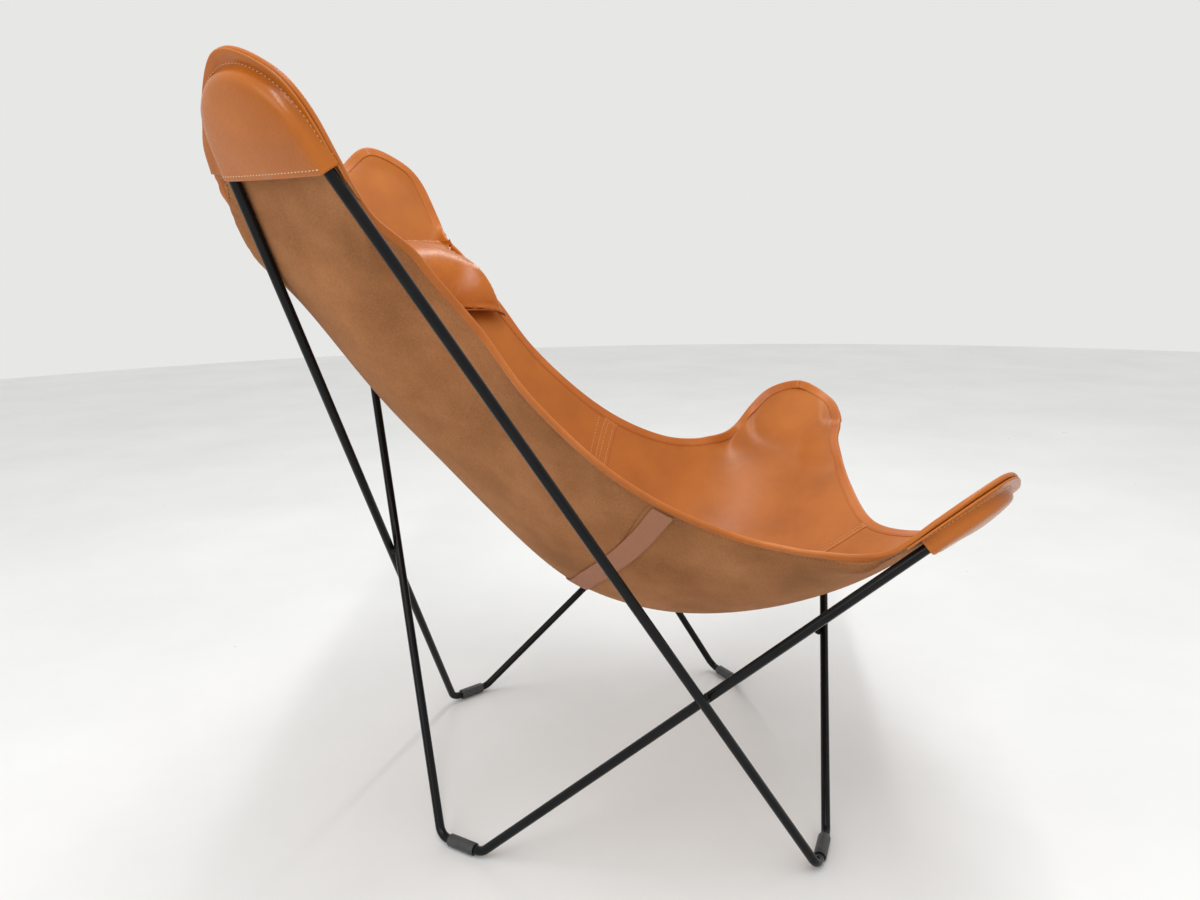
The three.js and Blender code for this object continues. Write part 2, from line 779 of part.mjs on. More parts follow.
// The bound hem runs just outside the leather's edge and stops short of the neighbouring hems
function addHem(name, edge, outward) {
  const last = edge.length - 1;
  const stations = edge.map(({ point, normal }, i) => {
    const tangent = edge[Math.min(i + 1, last)].point.clone().sub(edge[Math.max(i - 1, 0)].point);
    const out = tangent.cross(normal).normalize();
    return point.clone().addScaledVector(out, outward * (hemRadius + hemGap));
  });
  stations[0].lerp(stations[1], hemStop);
  stations[last].lerp(stations[last - 1], hemStop);
  const section = new THREE.Shape(polygonPoints(hemSides, hemRadius));
  addPiece(name, sweep(new StationPath(stations), section, last), 'leather');
}

function addHems() {
  const rightSide = (i, j) => j === 0;
  const leftSide = (i, j, lastRow, lastColumn) => j === lastColumn;
  const top = (i) => i === 0;
  const front = (i, j, lastRow) => i === lastRow;
  const side = (seat, pick) => [...edgeOf(panels.back, pick).slice(0, -1), ...edgeOf(seat, pick)];
  addHem('right_side_hem', side(panels.seatRight, rightSide), 1);
  addHem('left_side_hem', side(panels.seatLeft, leftSide), -1);
  addHem('top_hem', edgeOf(panels.back, top), -1);
  addHem('front_hem', [...edgeOf(panels.seatRight, front), ...edgeOf(panels.seatLeft, front).slice(1)], 1);
}

// How far the sling goes on at a place while its run grows by one
function runLength(across, run) {
  const before = slingPoint(across, run - runStep);
  return slingPoint(across, run + runStep).distanceTo(before) / (2 * runStep);
}

// A webbing strap under the seam, from side to side
function addStrap() {
  const depth = leatherThickness / 2 + leatherGap + strapThickness / 2;
  const grid = [-0.5, 0, 0.5].map((share) => {
    const row = [];
    for (let j = 0; j <= strapColumns; j += 1) {
      const across = strapReach * (2 * j / strapColumns - 1);
      const turn = smooth((Math.abs(across) - strapTurn) / (strapReach - strapTurn));
      const middle = strapMiddleRun + (strapEndRun - strapMiddleRun) * turn;
      const run = middle + share * strapWidth / runLength(across, middle);
      row.push(slingPoint(across, run).addScaledVector(slingNormal(across, run), -depth));
    }
    return row;
  });
  addPiece('webbing_strap', sheetGeometry(grid, strapThickness), 'webbing');
}

// The spot of the back panel at a share of its half width and a height above the floor
function backSpot(across, z) {
  let upper = 0.02;
  let lower = 1;
  for (let i = 0; i < 40; i += 1) {
    const run = (upper + lower) / 2;
    if (slingPoint(across, run).z > z) {
      upper = run;
    } else {
      lower = run;
    }
  }
  return { point: slingPoint(across, upper), normal: slingNormal(across, upper) };
}

// The pillow lies on the back under the top edge: a thin flange on top, a full roll below
function pillowHeight(end, share) {
  const rise = pillowRise * smooth(Math.abs(end) / pillowRiseShare);
  return pillowTop + (pillowBottom - pillowTop) * share + rise;
}

function pillowFullness(end, share) {
  const roll = clamp01((share - pillowFlange) / (1 - pillowFlange));
  const crown = Math.sqrt(Math.max(Math.sin(Math.PI * roll ** pillowSlump), 0));
  const ends = Math.sqrt(1 - Math.abs(end) ** pillowSquareness);
  return pillowEdge + (pillowThickness - pillowEdge) * crown * ends;
}

// The roll leans from the back towards this direction
const pillowFront = vec(0, -0.75, 0.66);

function addPillow() {
  const seat = leatherThickness / 2 + pillowEase;
  const front = [];
  const back = [];
  for (let i = 0; i <= pillowRows; i += 1) {
    for (let j = 0; j <= pillowColumns; j += 1) {
      const share = i / pillowRows;
      const end = Math.sin((2 * j / pillowColumns - 1) * Math.PI / 2);
      const reach = (end > 0 ? pillowShareLeft : pillowShareRight) - pillowTaper * share;
      const { point, normal } = backSpot(end * reach, pillowHeight(end, share));
      const inner = point.addScaledVector(normal, seat);
      const lean = normal.add(pillowFront).normalize();
      const outer = inner.clone().addScaledVector(lean, pillowFullness(end, share));
      front.push(outer.x, outer.y, outer.z);
      back.push(inner.x, inner.y, inner.z);
    }
  }
  addPiece('neck_pillow', closedGrid(front.concat(back), pillowRows + 1, pillowColumns + 1), 'leather');
}

addLoop(outerLoop, 'right', 'left', 'left', 'right');
addLoop(innerLoop, 'left', 'right', 'right', 'left');
addWelds();
addPanels();
addPockets();
addHems();
addStrap();
addPillow();

// The plan's middle is put over the origin
const middle = new THREE.Box3().setFromObject(chair).getCenter(vec(0, 0, 0));
for (const piece of chair.children) {
  piece.geometry.translate(-middle.x, -middle.y, 0);
}

export default chair;
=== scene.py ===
"""Looks of the butterfly sling chair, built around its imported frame.

Lengths are millimetres until a mesh is made.
"""
import math

import bmesh
import bpy
import numpy as np
from mathutils import Matrix, Vector


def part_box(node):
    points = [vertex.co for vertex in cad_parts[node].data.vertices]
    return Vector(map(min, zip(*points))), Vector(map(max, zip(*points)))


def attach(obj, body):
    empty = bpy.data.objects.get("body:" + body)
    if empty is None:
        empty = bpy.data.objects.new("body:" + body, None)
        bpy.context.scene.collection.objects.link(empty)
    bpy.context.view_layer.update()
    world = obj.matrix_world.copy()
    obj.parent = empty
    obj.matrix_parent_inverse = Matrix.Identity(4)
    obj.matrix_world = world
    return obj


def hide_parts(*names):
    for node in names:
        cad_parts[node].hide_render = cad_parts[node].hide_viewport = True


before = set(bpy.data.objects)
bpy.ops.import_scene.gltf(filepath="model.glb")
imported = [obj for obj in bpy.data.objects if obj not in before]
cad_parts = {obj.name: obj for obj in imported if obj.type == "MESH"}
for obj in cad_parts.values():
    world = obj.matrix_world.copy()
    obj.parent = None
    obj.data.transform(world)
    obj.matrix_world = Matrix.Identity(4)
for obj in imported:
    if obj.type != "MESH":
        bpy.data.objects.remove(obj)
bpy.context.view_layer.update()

MM = 0.001

# The frame's corners before the bends are rounded, on the sitter's left
REAR_TIP = np.array([441.0, 454.0, 1117.0])
FRONT_TIP = np.array([439.0, -448.0, 577.0])
REAR_FOOT_INNER = (200.0, 262.0)
REAR_FOOT_OUTER = (240.0, 206.0)
FRONT_FOOT_INNER = (225.0, -248.0)
FRONT_FOOT_OUTER = (292.0, -216.0)
ROD_RADIUS = 6.0
REAR_TIP_RADIUS = 80.0
FRONT_TIP_RADIUS = 62.0
FOOT_BEND_RADIUS = 20.0
SLEEVE_RADIUS = 8.2
SLEEVE_LENGTH = 42.0
JOINT_GAP = 0.3

# Leather
LEATHER = 3.4
POCKET_LEATHER = 2.4
TIP_LIFT = 8.6
ROD_CLEAR = 8.4
REAR_RIM_UP = 2.5
FRONT_RIM_UP = 6.0
RIM_DOWN = 6.0
POCKET_MARGIN = 15.0
REAR_CROWN = 17.0
REAR_FLAT = 11.0
FRONT_FLAT = 20.0
# A pocket's mouth: how far below the bend's middle, how slanted, and how far its flange runs on
REAR_MOUTH, REAR_SLANT, REAR_TAIL = 7.0, 10.0, 40.0
FRONT_MOUTH, FRONT_SLANT, FRONT_TAIL = 6.0, 0.0, 18.0
HEM_REACH = 5.4
STITCH_INSET = 8.0
# Where the rim's curl turns over across a tip, and where it sets in outside the rod
CURL_FROM, CURL_SPAN = -20.0, 110.0
RIM_FROM, RIM_SPAN = 2.0, 13.0
# How far below a tip, and beyond its inner leg, the leather leaves the plane of the bend
REAR_FADE, FRONT_FADE = 120.0, 90.0
FLAP_FLAT, FLAP_FADE = 18.0, 45.0
# Fall of the leather beside a rod it lies over, per square millimetre
ROD_BOW = 0.0024
# The sling's length along one run and half its width, which turn distances from a seam into shares
RUN_LENGTH = 330.0
HALF_WIDTH = 300.0

MIRROR = np.array([-1.0, 1.0, 1.0])


def vec(*xyz):
    return np.array(xyz, float)


def unit(v):
    return v / np.linalg.norm(v, axis=-1, keepdims=True)


def smooth(x):
    x = np.clip(x, 0, 1)
    return x * x * (3 - 2 * x)


def path_lengths(points):
    """Length of a path up to each of its points."""
    return np.concatenate([[0], np.cumsum(np.linalg.norm(np.diff(points, axis=0), axis=1))])


# Frame geometry


class Bend:
    """A round bend in place of the corner between two straight runs."""

    def __init__(self, start_side, corner, end_side, radius):
        a = unit(start_side - corner)
        b = unit(end_side - corner)
        half = math.acos(np.clip(a @ b, -1, 1)) / 2
        self.inward = unit(a + b)
        self.across = unit(b - a)
        self.start = corner + a * radius / math.tan(half)
        self.end = corner + b * radius / math.tan(half)
        self.centre = corner + self.inward * radius / math.sin(half)
        self.half = half
        self.sweep = math.pi / 2 - half
        self.radius = radius

    def points(self, count):
        angles = np.linspace(-self.sweep, self.sweep, count)[:, None]
        return self.centre + self.radius * (np.sin(angles) * self.across - np.cos(angles) * self.inward)


def moved(inner, outer, x, y):
    return [vec(inner[0] + x, inner[1] + y, SLEEVE_RADIUS), vec(outer[0] + x, outer[1] + y, SLEEVE_RADIUS)]


def loop_corners(out):
    """The outer loop stands on the right front and left rear feet, the inner loop on the other two."""
    front_a = [p * MIRROR for p in moved(FRONT_FOOT_INNER, FRONT_FOOT_OUTER, out["right"], -out["front"])]
    rear_a = moved(REAR_FOOT_INNER, REAR_FOOT_OUTER, out["left"], out["rear"])
    front_b = moved(FRONT_FOOT_INNER, FRONT_FOOT_OUTER, -out["left"], out["front"])
    rear_b = [p * MIRROR for p in moved(REAR_FOOT_INNER, REAR_FOOT_OUTER, -out["right"], -out["rear"])]
    outer = {"rear": REAR_TIP * MIRROR, "front": FRONT_TIP, "front_foot": front_a, "rear_foot": rear_a}
    inner = {"rear": REAR_TIP, "front": FRONT_TIP * MIRROR, "front_foot": front_b, "rear_foot": rear_b}
    return outer, inner


def crossings(a, b):
    return {
        "right": ((a["rear"], a["front_foot"][1]), (b["front"], b["rear_foot"][1]), vec(-1, 0, 0)),
        "left": ((a["front"], a["rear_foot"][1]), (b["rear"], b["front_foot"][1]), vec(1, 0, 0)),
        "rear": ((a["rear"], a["rear_foot"][0]), (b["rear"], b["rear_foot"][0]), vec(0, 1, 0)),
        "front": ((a["front"], a["front_foot"][0]), (b["front"], b["front_foot"][0]), vec(0, -1, 0)),
    }


def line_gap(first, second, side):
    normal = unit(np.cross(first[1] - first[0], second[1] - second[0]))
    gap = (first[0] - second[0]) @ normal
    return gap if normal @ side > 0 else -gap


def solve_loops():
    """The feet are set apart until the rods just clear at every crossing."""
    out = dict.fromkeys(("right", "left", "front", "rear"), 2 * ROD_RADIUS)
    for _ in range(60):
        for place, (first, second, side) in crossings(*loop_corners(out)).items():
            out[place] += 0.5 * (2 * ROD_RADIUS + JOINT_GAP - line_gap(first, second, side))
    return loop_corners(out)


OUTER, INNER = solve_loops()


def loop_bends(loop):
    rear, front = loop["rear"], loop["front"]
    front_in, front_out = loop["front_foot"]
    rear_in, rear_out = loop["rear_foot"]
    return {
        "rear_tip": Bend(front_out, rear, rear_in, REAR_TIP_RADIUS),
        "front_tip": Bend(rear_out, front, front_in, FRONT_TIP_RADIUS),
        "front_foot_out": Bend(rear, front_out, front_in, FOOT_BEND_RADIUS),
        "front_foot_in": Bend(front_out, front_in, front, FOOT_BEND_RADIUS),
        "rear_foot_in": Bend(rear, rear_in, rear_out, FOOT_BEND_RADIUS),
        "rear_foot_out": Bend(rear_in, rear_out, front, FOOT_BEND_RADIUS),
    }


OUTER_BENDS = loop_bends(OUTER)
INNER_BENDS = loop_bends(INNER)

# The CAD puts the middle of the plan over the origin; one sleeve shows how far that moves everything
_low, _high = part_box("front_left_foot_sleeve")
_sleeve_middle = (np.array(_low) + np.array(_high)) / 2 / MM
_own_middle = (INNER_BENDS["front_foot_out"].end + INNER_BENDS["front_foot_in"].start) / 2
SHIFT = (_sleeve_middle - _own_middle) * np.array([1, 1, 0])


# Sling surface


class TipPlane:
    """The plane of a tip's bend: down the tip, across it to the chair's middle, up through the leather."""

    def __init__(self, bend, rim_up, crown, flat):
        self.rim_up = rim_up
        self.crown = crown
        self.flat = flat
        self.centre = bend.centre
        self.down = bend.inward
        self.across = bend.across
        lift = unit(np.cross(bend.inward, bend.across))
        self.lift = lift if lift[2] > 0 else -lift
        self.radius = bend.radius
        self.half = bend.half

    def at(self, down, side, lift):
        down, side, lift = (np.asarray(x, float)[..., None] for x in (down, side, lift))
        return self.centre + down * self.down + side * self.across + lift * self.lift

    def leather(self, down, side):
        """Height of the sling over the plane: level on the rod, its rim bent up outside and down inside."""
        past = np.abs(side) * math.cos(self.half) - down * math.sin(self.half)
        beyond = np.where(past > np.hypot(down, side) * 0.999, past, np.hypot(down, side)) - self.radius
        curl = self.rim_up - (self.rim_up + RIM_DOWN) * smooth((side - CURL_FROM) / CURL_SPAN)
        return TIP_LIFT + curl * smooth((beyond - RIM_FROM) / RIM_SPAN)

    def rim(self, down, side):
        return self.at(down, side, self.leather(down, side))

    def corner(self, degrees):
        reach = self.radius + POCKET_MARGIN
        angle = math.radians(degrees)
        return self.rim(-(reach + self.crown) * math.cos(angle), reach * math.sin(angle))


def on_floor(foot):
    return vec(foot[0], foot[1], SLEEVE_RADIUS)


REAR_PLANE = TipPlane(Bend(
    on_floor(FRONT_FOOT_OUTER) * MIRROR, REAR_TIP * MIRROR, on_floor(REAR_FOOT_INNER), REAR_TIP_RADIUS),
    REAR_RIM_UP, REAR_CROWN, REAR_FLAT)
FRONT_PLANE = TipPlane(Bend(
    on_floor(REAR_FOOT_OUTER) * MIRROR, FRONT_TIP * MIRROR, on_floor(FRONT_FOOT_INNER), FRONT_TIP_RADIUS),
    FRONT_RIM_UP, 0.0, FRONT_FLAT)


def cubic_weights(f):
    return [
        0.5 * (-f + 2 * f ** 2 - f ** 3),
        0.5 * (2 - 5 * f ** 2 + 3 * f ** 3),
        0.5 * (f + 4 * f ** 2 - 3 * f ** 3),
        0.5 * (-f ** 2 + f ** 3),
    ]


def catmull(points, t, before, after):
    """Points of a smooth curve through the given ones, at shares t of its spans."""
    points = np.asarray(points, float)
    padded = np.vstack([before, points, after])
    place = np.clip(t, 0, 1) * (len(points) - 1)
    i = np.minimum(place.astype(int), len(points) - 2)
    return sum(weight[..., None] * padded[i + k] for k, weight in enumerate(cubic_weights(place - i)))


def on_back(*shares):
    return np.array(shares) * REAR_TIP


def on_seat(*shares):
    return np.array(shares) * FRONT_TIP


SIDE_EDGE = [
    REAR_PLANE.corner(0), REAR_PLANE.corner(-36), REAR_PLANE.corner(-62),
    on_back(-0.884, 0.587, 0.747), on_back(-0.785, 0.530, 0.712), on_back(-0.714, 0.468, 0.671),
    on_back(-0.673, 0.360, 0.613), on_back(-0.689, 0.250, 0.549), on_back(-0.701, 0.099, 0.485),
    on_seat(-0.682, 0.052, 0.847), on_seat(-0.683, 0.212, 0.783), on_seat(-0.718, 0.353, 0.752),
    on_seat(-0.801, 0.500, 0.753),
    FRONT_PLANE.corner(-82), FRONT_PLANE.corner(-42), FRONT_PLANE.corner(0),
]
TOP_MIDDLE = on_back(0, 0.978, 0.706)
FRONT_MIDDLE = on_seat(0, 0.875, 0.626)
MIDDLE_LINE = [
    TOP_MIDDLE, on_back(0, 0.716, 0.536), on_back(0, 0.562, 0.455), on_back(0, 0.414, 0.380),
    on_back(0, 0.269, 0.315), on_back(0, 0.121, 0.263),
    on_seat(0, 0.078, 0.447), on_seat(0, 0.257, 0.432), on_seat(0, 0.435, 0.451), on_seat(0, 0.598, 0.499),
    on_seat(0, 0.741, 0.558), FRONT_MIDDLE,
]
SEAM_ON_SIDE = 9 / 15
SEAM_ON_MIDDLE = 5 / 11
CORNER_FADE = 0.75
NET_ROWS = 144
NET_COLUMNS = 48
TAUT_ROUNDS = 96


def side_edge(t):
    return catmull(SIDE_EDGE, t, REAR_PLANE.corner(42), FRONT_PLANE.corner(42))


def middle_line(t):
    before = 2 * TOP_MIDDLE - MIDDLE_LINE[1]
    return catmull(MIDDLE_LINE, t, before, 2 * FRONT_MIDDLE - MIDDLE_LINE[-2])


def cross_edge(right_half, middle, before):
    """The right half of an edge across the chair, evenly spaced from its corner to the middle line."""
    fine = catmull([*right_half, middle], np.linspace(0, 1, 600), before, right_half[-1] * MIRROR)
    length = path_lengths(fine)
    even = np.linspace(length[-1], 0, NET_COLUMNS + 1)
    return np.column_stack([np.interp(even, length, fine[:, k]) for k in range(3)])


TOP_EDGE = cross_edge([
    REAR_PLANE.corner(0), REAR_PLANE.rim(-77, 58), REAR_PLANE.rim(-58, 77), on_back(-0.638, 0.948, 0.788),
    on_back(-0.592, 0.951, 0.766), on_back(-0.520, 0.952, 0.744), on_back(-0.340, 0.965, 0.719),
], TOP_MIDDLE, REAR_PLANE.corner(-42))
FRONT_EDGE = cross_edge([
    FRONT_PLANE.corner(0), FRONT_PLANE.rim(-52, 62), FRONT_PLANE.rim(-25, 89), FRONT_PLANE.rim(6, 104),
    FRONT_PLANE.rim(48, 117), on_seat(-0.319, 0.900, 0.669),
], FRONT_MIDDLE, FRONT_PLANE.corner(-42))


def run_share(run, seam):
    return np.where(run <= 1, run * seam, seam + (run - 1) * (1 - seam))


def drawn_to_tips(points, run):
    """Draws points onto the plane of the tip's bend, less and less with distance below the bend."""
    result = points.copy()
    for plane, fade, rows in ((REAR_PLANE, REAR_FADE, run < 1), (FRONT_PLANE, FRONT_FADE, run >= 1)):
        part = result[rows]
        offset = part - plane.centre
        down, side = offset @ plane.down, offset @ plane.across
        past = np.abs(side) * math.cos(plane.half) - down * math.sin(plane.half) - plane.radius
        flap = np.where(side > 0, 1 - smooth((past - FLAP_FLAT) / FLAP_FADE), 1)
        share = (1 - smooth((down - plane.flat) / fade)) * flap
        height = offset @ plane.lift
        rise = (plane.leather(down, side) - height) * share
        over_rod = np.where(down > 0, ROD_CLEAR - ROD_BOW * past ** 2 - height - rise, 0)
        result[rows] = part + (rise + np.clip(over_rod, 0, None))[..., None] * plane.lift
    return result


def taut_net():
    """The right half of the sling: hammock rows between side edge and middle line, pulled taut."""
    run = np.linspace(0, 2, NET_ROWS + 1)
    spread = np.linspace(0, 1, NET_COLUMNS + 1)[None, :, None]
    side = side_edge(run_share(run, SEAM_ON_SIDE))[:, None]
    middle = middle_line(run_share(run, SEAM_ON_MIDDLE))[:, None]
    net = middle + (side - middle) * spread ** 2
    net[..., 0] = side[..., 0] * spread[..., 0]
    top_share = (1 - smooth(run / CORNER_FADE))[:, None, None]
    front_share = (1 - smooth((2 - run) / CORNER_FADE))[:, None, None]
    net = net + top_share * (TOP_EDGE - net[0]) + front_share * (FRONT_EDGE - net[-1])
    net = drawn_to_tips(net, run)
    for _ in range(TAUT_ROUNDS):
        beside = np.concatenate([net[:, 1:2] * MIRROR, net[:, :-2]], axis=1)
        around = beside[1:-1] + net[1:-1, 1:] + net[:-2, :-1] + net[2:, :-1]
        settled = net.copy()
        settled[1:-1, :-1] = 0.5 * net[1:-1, :-1] + 0.125 * around
        inside = drawn_to_tips(settled, run)
        net[1:-1, :-1] = inside[1:-1, :-1]
    return net


def padded_net(net):
    net = np.concatenate([net[:, 1:2] * MIRROR, net, 2 * net[:, -1:] - net[:, -2:-1]], axis=1)
    return np.concatenate([2 * net[:1] - net[1:2], net, 2 * net[-1:] - net[-2:-1]], axis=0)


NET = padded_net(taut_net())


def sling(across, run):
    """The sling's middle surface: across -1 right edge to 1 left edge, run 0 top, 1 seam, 2 front."""
    across, run = np.broadcast_arrays(np.asarray(across, float), np.asarray(run, float))
    column = np.clip(np.abs(across), 0, 1) * NET_COLUMNS
    row = np.clip(run, 0, 2) / 2 * NET_ROWS
    j = np.minimum(column.astype(int), NET_COLUMNS - 1)
    i = np.minimum(row.astype(int), NET_ROWS - 1)
    wj = cubic_weights(column - j)
    wi = cubic_weights(row - i)
    point = 0
    for a in range(4):
        for b in range(4):
            point = point + (wi[a] * wj[b])[..., None] * NET[i + a, j + b]
    return np.where((across > 0)[..., None], point * MIRROR, point)


def sling_normal(across, run):
    """Unit normal on the sitter's side."""
    step = 0.008
    across, run = np.broadcast_arrays(np.asarray(across, float), np.asarray(run, float))
    a = np.clip(across, -1 + step, 1 - step)
    r = np.clip(run, step, 2 - step)
    sideways = sling(a + step, r) - sling(a - step, r)
    onward = sling(a, r + step) - sling(a, r - step)
    return unit(np.cross(onward, sideways))


# Mesh helpers


def link(obj):
    bpy.context.scene.collection.objects.link(obj)
    return obj


def make_object(name, points, faces, materials, indices=None):
    mesh = bpy.data.meshes.new(name)
    points = (np.asarray(points, float).reshape(-1, 3) + SHIFT) * MM
    mesh.from_pydata(points.tolist(), [], [list(map(int, face)) for face in faces])
    for material in materials:
        mesh.materials.append(material)
    if indices is not None:
        mesh.polygons.foreach_set("material_index", np.asarray(indices, np.int32))
    mesh.polygons.foreach_set("use_smooth", np.ones(len(mesh.polygons), bool))
    mesh.validate()
    bm = bmesh.new()
    bm.from_mesh(mesh)
    bmesh.ops.remove_doubles(bm, verts=bm.verts, dist=1e-6)
    bmesh.ops.dissolve_degenerate(bm, edges=bm.edges, dist=1e-6)
    bmesh.ops.recalc_face_normals(bm, faces=bm.faces)
    bm.to_mesh(mesh)
    bm.free()
    return link(bpy.data.objects.new(name, mesh))


def piece(obj, slot, *nodes):
    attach(obj, "root")
    if nodes:
        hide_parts(*nodes)
    return obj


def grid_faces(rows, columns, first=0, wrap_rows=False, wrap_columns=False):
    i = np.arange(rows if wrap_rows else rows - 1)[:, None]
    j = np.arange(columns if wrap_columns else columns - 1)[None, :]
    down = (i + 1) % rows
    right = (j + 1) % columns
    corners = (i, j), (down, j), (down, right), (i, right)
    quads = np.stack([row * columns + column for row, column in corners], axis=-1)
    return (first + quads.reshape(-1, 4)).tolist()


def end_caps(rows, columns, first=0):
    """Faces over the first and the last ring of a tube."""
    last = first + (rows - 1) * columns
    return [list(range(start, start + columns)) for start in (first, last)]


def sheet_object(name, middle, normals, thickness, materials, rim=None):
    """A closed sheet over a grid: material 0 on its upper face, 1 below, 2 on its rounded rim."""
    rows, columns = middle.shape[:2]
    upper = middle + normals * thickness / 2
    lower = middle - normals * thickness / 2
    count = rows * columns
    faces = grid_faces(rows, columns) + [face[::-1] for face in grid_faces(rows, columns, count)]
    kinds = [0] * (len(faces) // 2) + [1] * (len(faces) // 2)
    number = np.arange(count).reshape(rows, columns)
    if rim is None:
        rim = np.concatenate([number[:, 0], number[-1, 1:], number[-2::-1, -1], number[0, -2:0:-1]])
    flat = middle.reshape(-1, 3)
    flat_normals = normals.reshape(-1, 3)
    tangent = unit(np.roll(flat[rim], -1, axis=0) - np.roll(flat[rim], 1, axis=0))
    out = np.cross(tangent, flat_normals[rim])
    middle_of_sheet = middle[1:-1, 1:-1].mean(axis=(0, 1))
    if ((flat[rim] - middle_of_sheet) * out).sum() < 0:
        out = -out
    edge = flat[rim] + out * thickness * 0.35
    ring = 2 * count + np.arange(len(rim))
    for k in range(len(rim)):
        n = (k + 1) % len(rim)
        faces.append([rim[k], rim[n], ring[n], ring[k]])
        faces.append([ring[k], ring[n], count + rim[n], count + rim[k]])
        kinds += [2, 2]
    points = np.vstack([upper.reshape(-1, 3), lower.reshape(-1, 3), edge])
    return make_object(name, points, faces, materials, kinds)


def transport(points, closed):
    """Two unit vectors across a path that turn as little as possible along it."""
    if closed:
        tangents = unit(np.roll(points, -1, axis=0) - np.roll(points, 1, axis=0))
    else:
        tangents = unit(np.gradient(points, axis=0))
    start = np.cross(tangents[0], vec(0.3, 0.5, 0.8))
    normals = [unit(start)]
    for tangent in tangents[1:]:
        normals.append(unit(normals[-1] - tangent * (normals[-1] @ tangent)))
    normals = np.array(normals)
    sides = np.cross(tangents, normals)
    if closed:
        last = unit(normals[-1] - tangents[0] * (normals[-1] @ tangents[0]))
        twist = math.atan2(last @ sides[0], last @ normals[0])
        turn = -twist * np.arange(len(points)) / len(points)
        cos, sin = np.cos(turn)[:, None], np.sin(turn)[:, None]
        normals, sides = normals * cos + sides * sin, sides * cos - normals * sin
    return normals, sides


def tube_points(points, radius, sides, closed):
    normals, cross = transport(points, closed)
    angles = np.linspace(0, 2 * math.pi, sides, endpoint=False)[None, :, None]
    return points[:, None] + radius * (np.cos(angles) * normals[:, None] + np.sin(angles) * cross[:, None])


# Materials


class Nodes:
    """A short way to write a node material."""

    def __init__(self, name):
        self.material = bpy.data.materials.new(name)
        self.material.use_nodes = True
        self.tree = self.material.node_tree
        self.shader = self.tree.nodes["Principled BSDF"]
        self.coords = self.tree.nodes.new("ShaderNodeTexCoord").outputs["Object"]

    def feed(self, socket, value):
        """Links a socket to an output, or sets it to a number or a colour."""
        if isinstance(value, bpy.types.NodeSocket):
            self.tree.links.new(value, socket)
        else:
            socket.default_value = (*value, 1.0) if isinstance(value, tuple) else value

    def node(self, kind, inputs=None, **settings):
        node = self.tree.nodes.new(kind)
        for key, value in settings.items():
            setattr(node, key, value)
        for key, value in (inputs or {}).items():
            self.feed(node.inputs[key], value)
        return node

    def noise(self, scale, detail, roughness=0.55):
        inputs = {"Vector": self.coords, "Scale": scale, "Detail": detail, "Roughness": roughness}
        return self.node("ShaderNodeTexNoise", inputs).outputs["Fac"]

    def cells(self, scale):
        inputs = {"Vector": self.coords, "Scale": scale}
        return self.node("ShaderNodeTexVoronoi", inputs, feature="SMOOTH_F1").outputs["Distance"]

    def wave(self, scale, direction, vector, distortion):
        inputs = {"Vector": vector, "Scale": scale, "Distortion": distortion}
        return self.node("ShaderNodeTexWave", inputs, bands_direction=direction).outputs["Fac"]

    def math(self, operation, a, b):
        return self.node("ShaderNodeMath", {0: a, 1: b}, operation=operation).outputs[0]

    def ramp(self, factor, stops):
        node = self.node("ShaderNodeValToRGB", {"Fac": factor})
        elements = node.color_ramp.elements
        while len(elements) < len(stops):
            elements.new(0.5)
        for element, (place, colour) in zip(elements, stops):
            element.position = place
            element.color = (*colour, 1.0)
        return node.outputs["Color"]

    def span(self, factor, low, high):
        node = self.node("ShaderNodeMapRange", {"Value": factor, "To Min": low, "To Max": high})
        return node.outputs["Result"]

    def mix(self, factor, a, b):
        return self.node("ShaderNodeMix", {0: factor, 6: a, 7: b}, data_type="RGBA").outputs[2]

    def set(self, **sockets):
        for key, value in sockets.items():
            self.feed(self.shader.inputs[key.replace("_", " ")], value)

    def bump(self, heights):
        """Stacked bumps, each (height, distance in metres, strength)."""
        normal = None
        for height, distance, strength in heights:
            inputs = {"Height": height, "Distance": distance, "Strength": strength}
            if normal is not None:
                inputs["Normal"] = normal
            normal = self.node("ShaderNodeBump", inputs).outputs["Normal"]
        self.tree.links.new(normal, self.shader.inputs["Normal"])


def leather_material(name, dark, base, light, gloss=0.42):
    m = Nodes(name)
    clouds = m.noise(9.0, 4.0)
    colour = m.ramp(clouds, [(0.28, dark), (0.52, base), (0.78, light)])
    pores = m.noise(900.0, 2.0)
    colour = m.mix(m.span(pores, 0.0, 0.16), colour, dark)
    edge = m.node("ShaderNodeNewGeometry").outputs["Pointiness"]
    worn = m.ramp(edge, [(0.505, (0, 0, 0)), (0.56, (1, 1, 1))])
    colour = m.mix(m.math("MULTIPLY", worn, 0.35), colour, light)
    grain = m.cells(620.0)
    creases = m.noise(55.0, 5.0, 0.6)
    m.set(Base_Color=colour, Roughness=m.span(m.noise(70.0, 4.0), gloss - 0.07, gloss + 0.10))
    m.set(Specular_IOR_Level=0.36)
    m.bump([(grain, 0.00022, 0.30), (pores, 0.00018, 0.20), (creases, 0.0008, 0.12)])
    return m.material


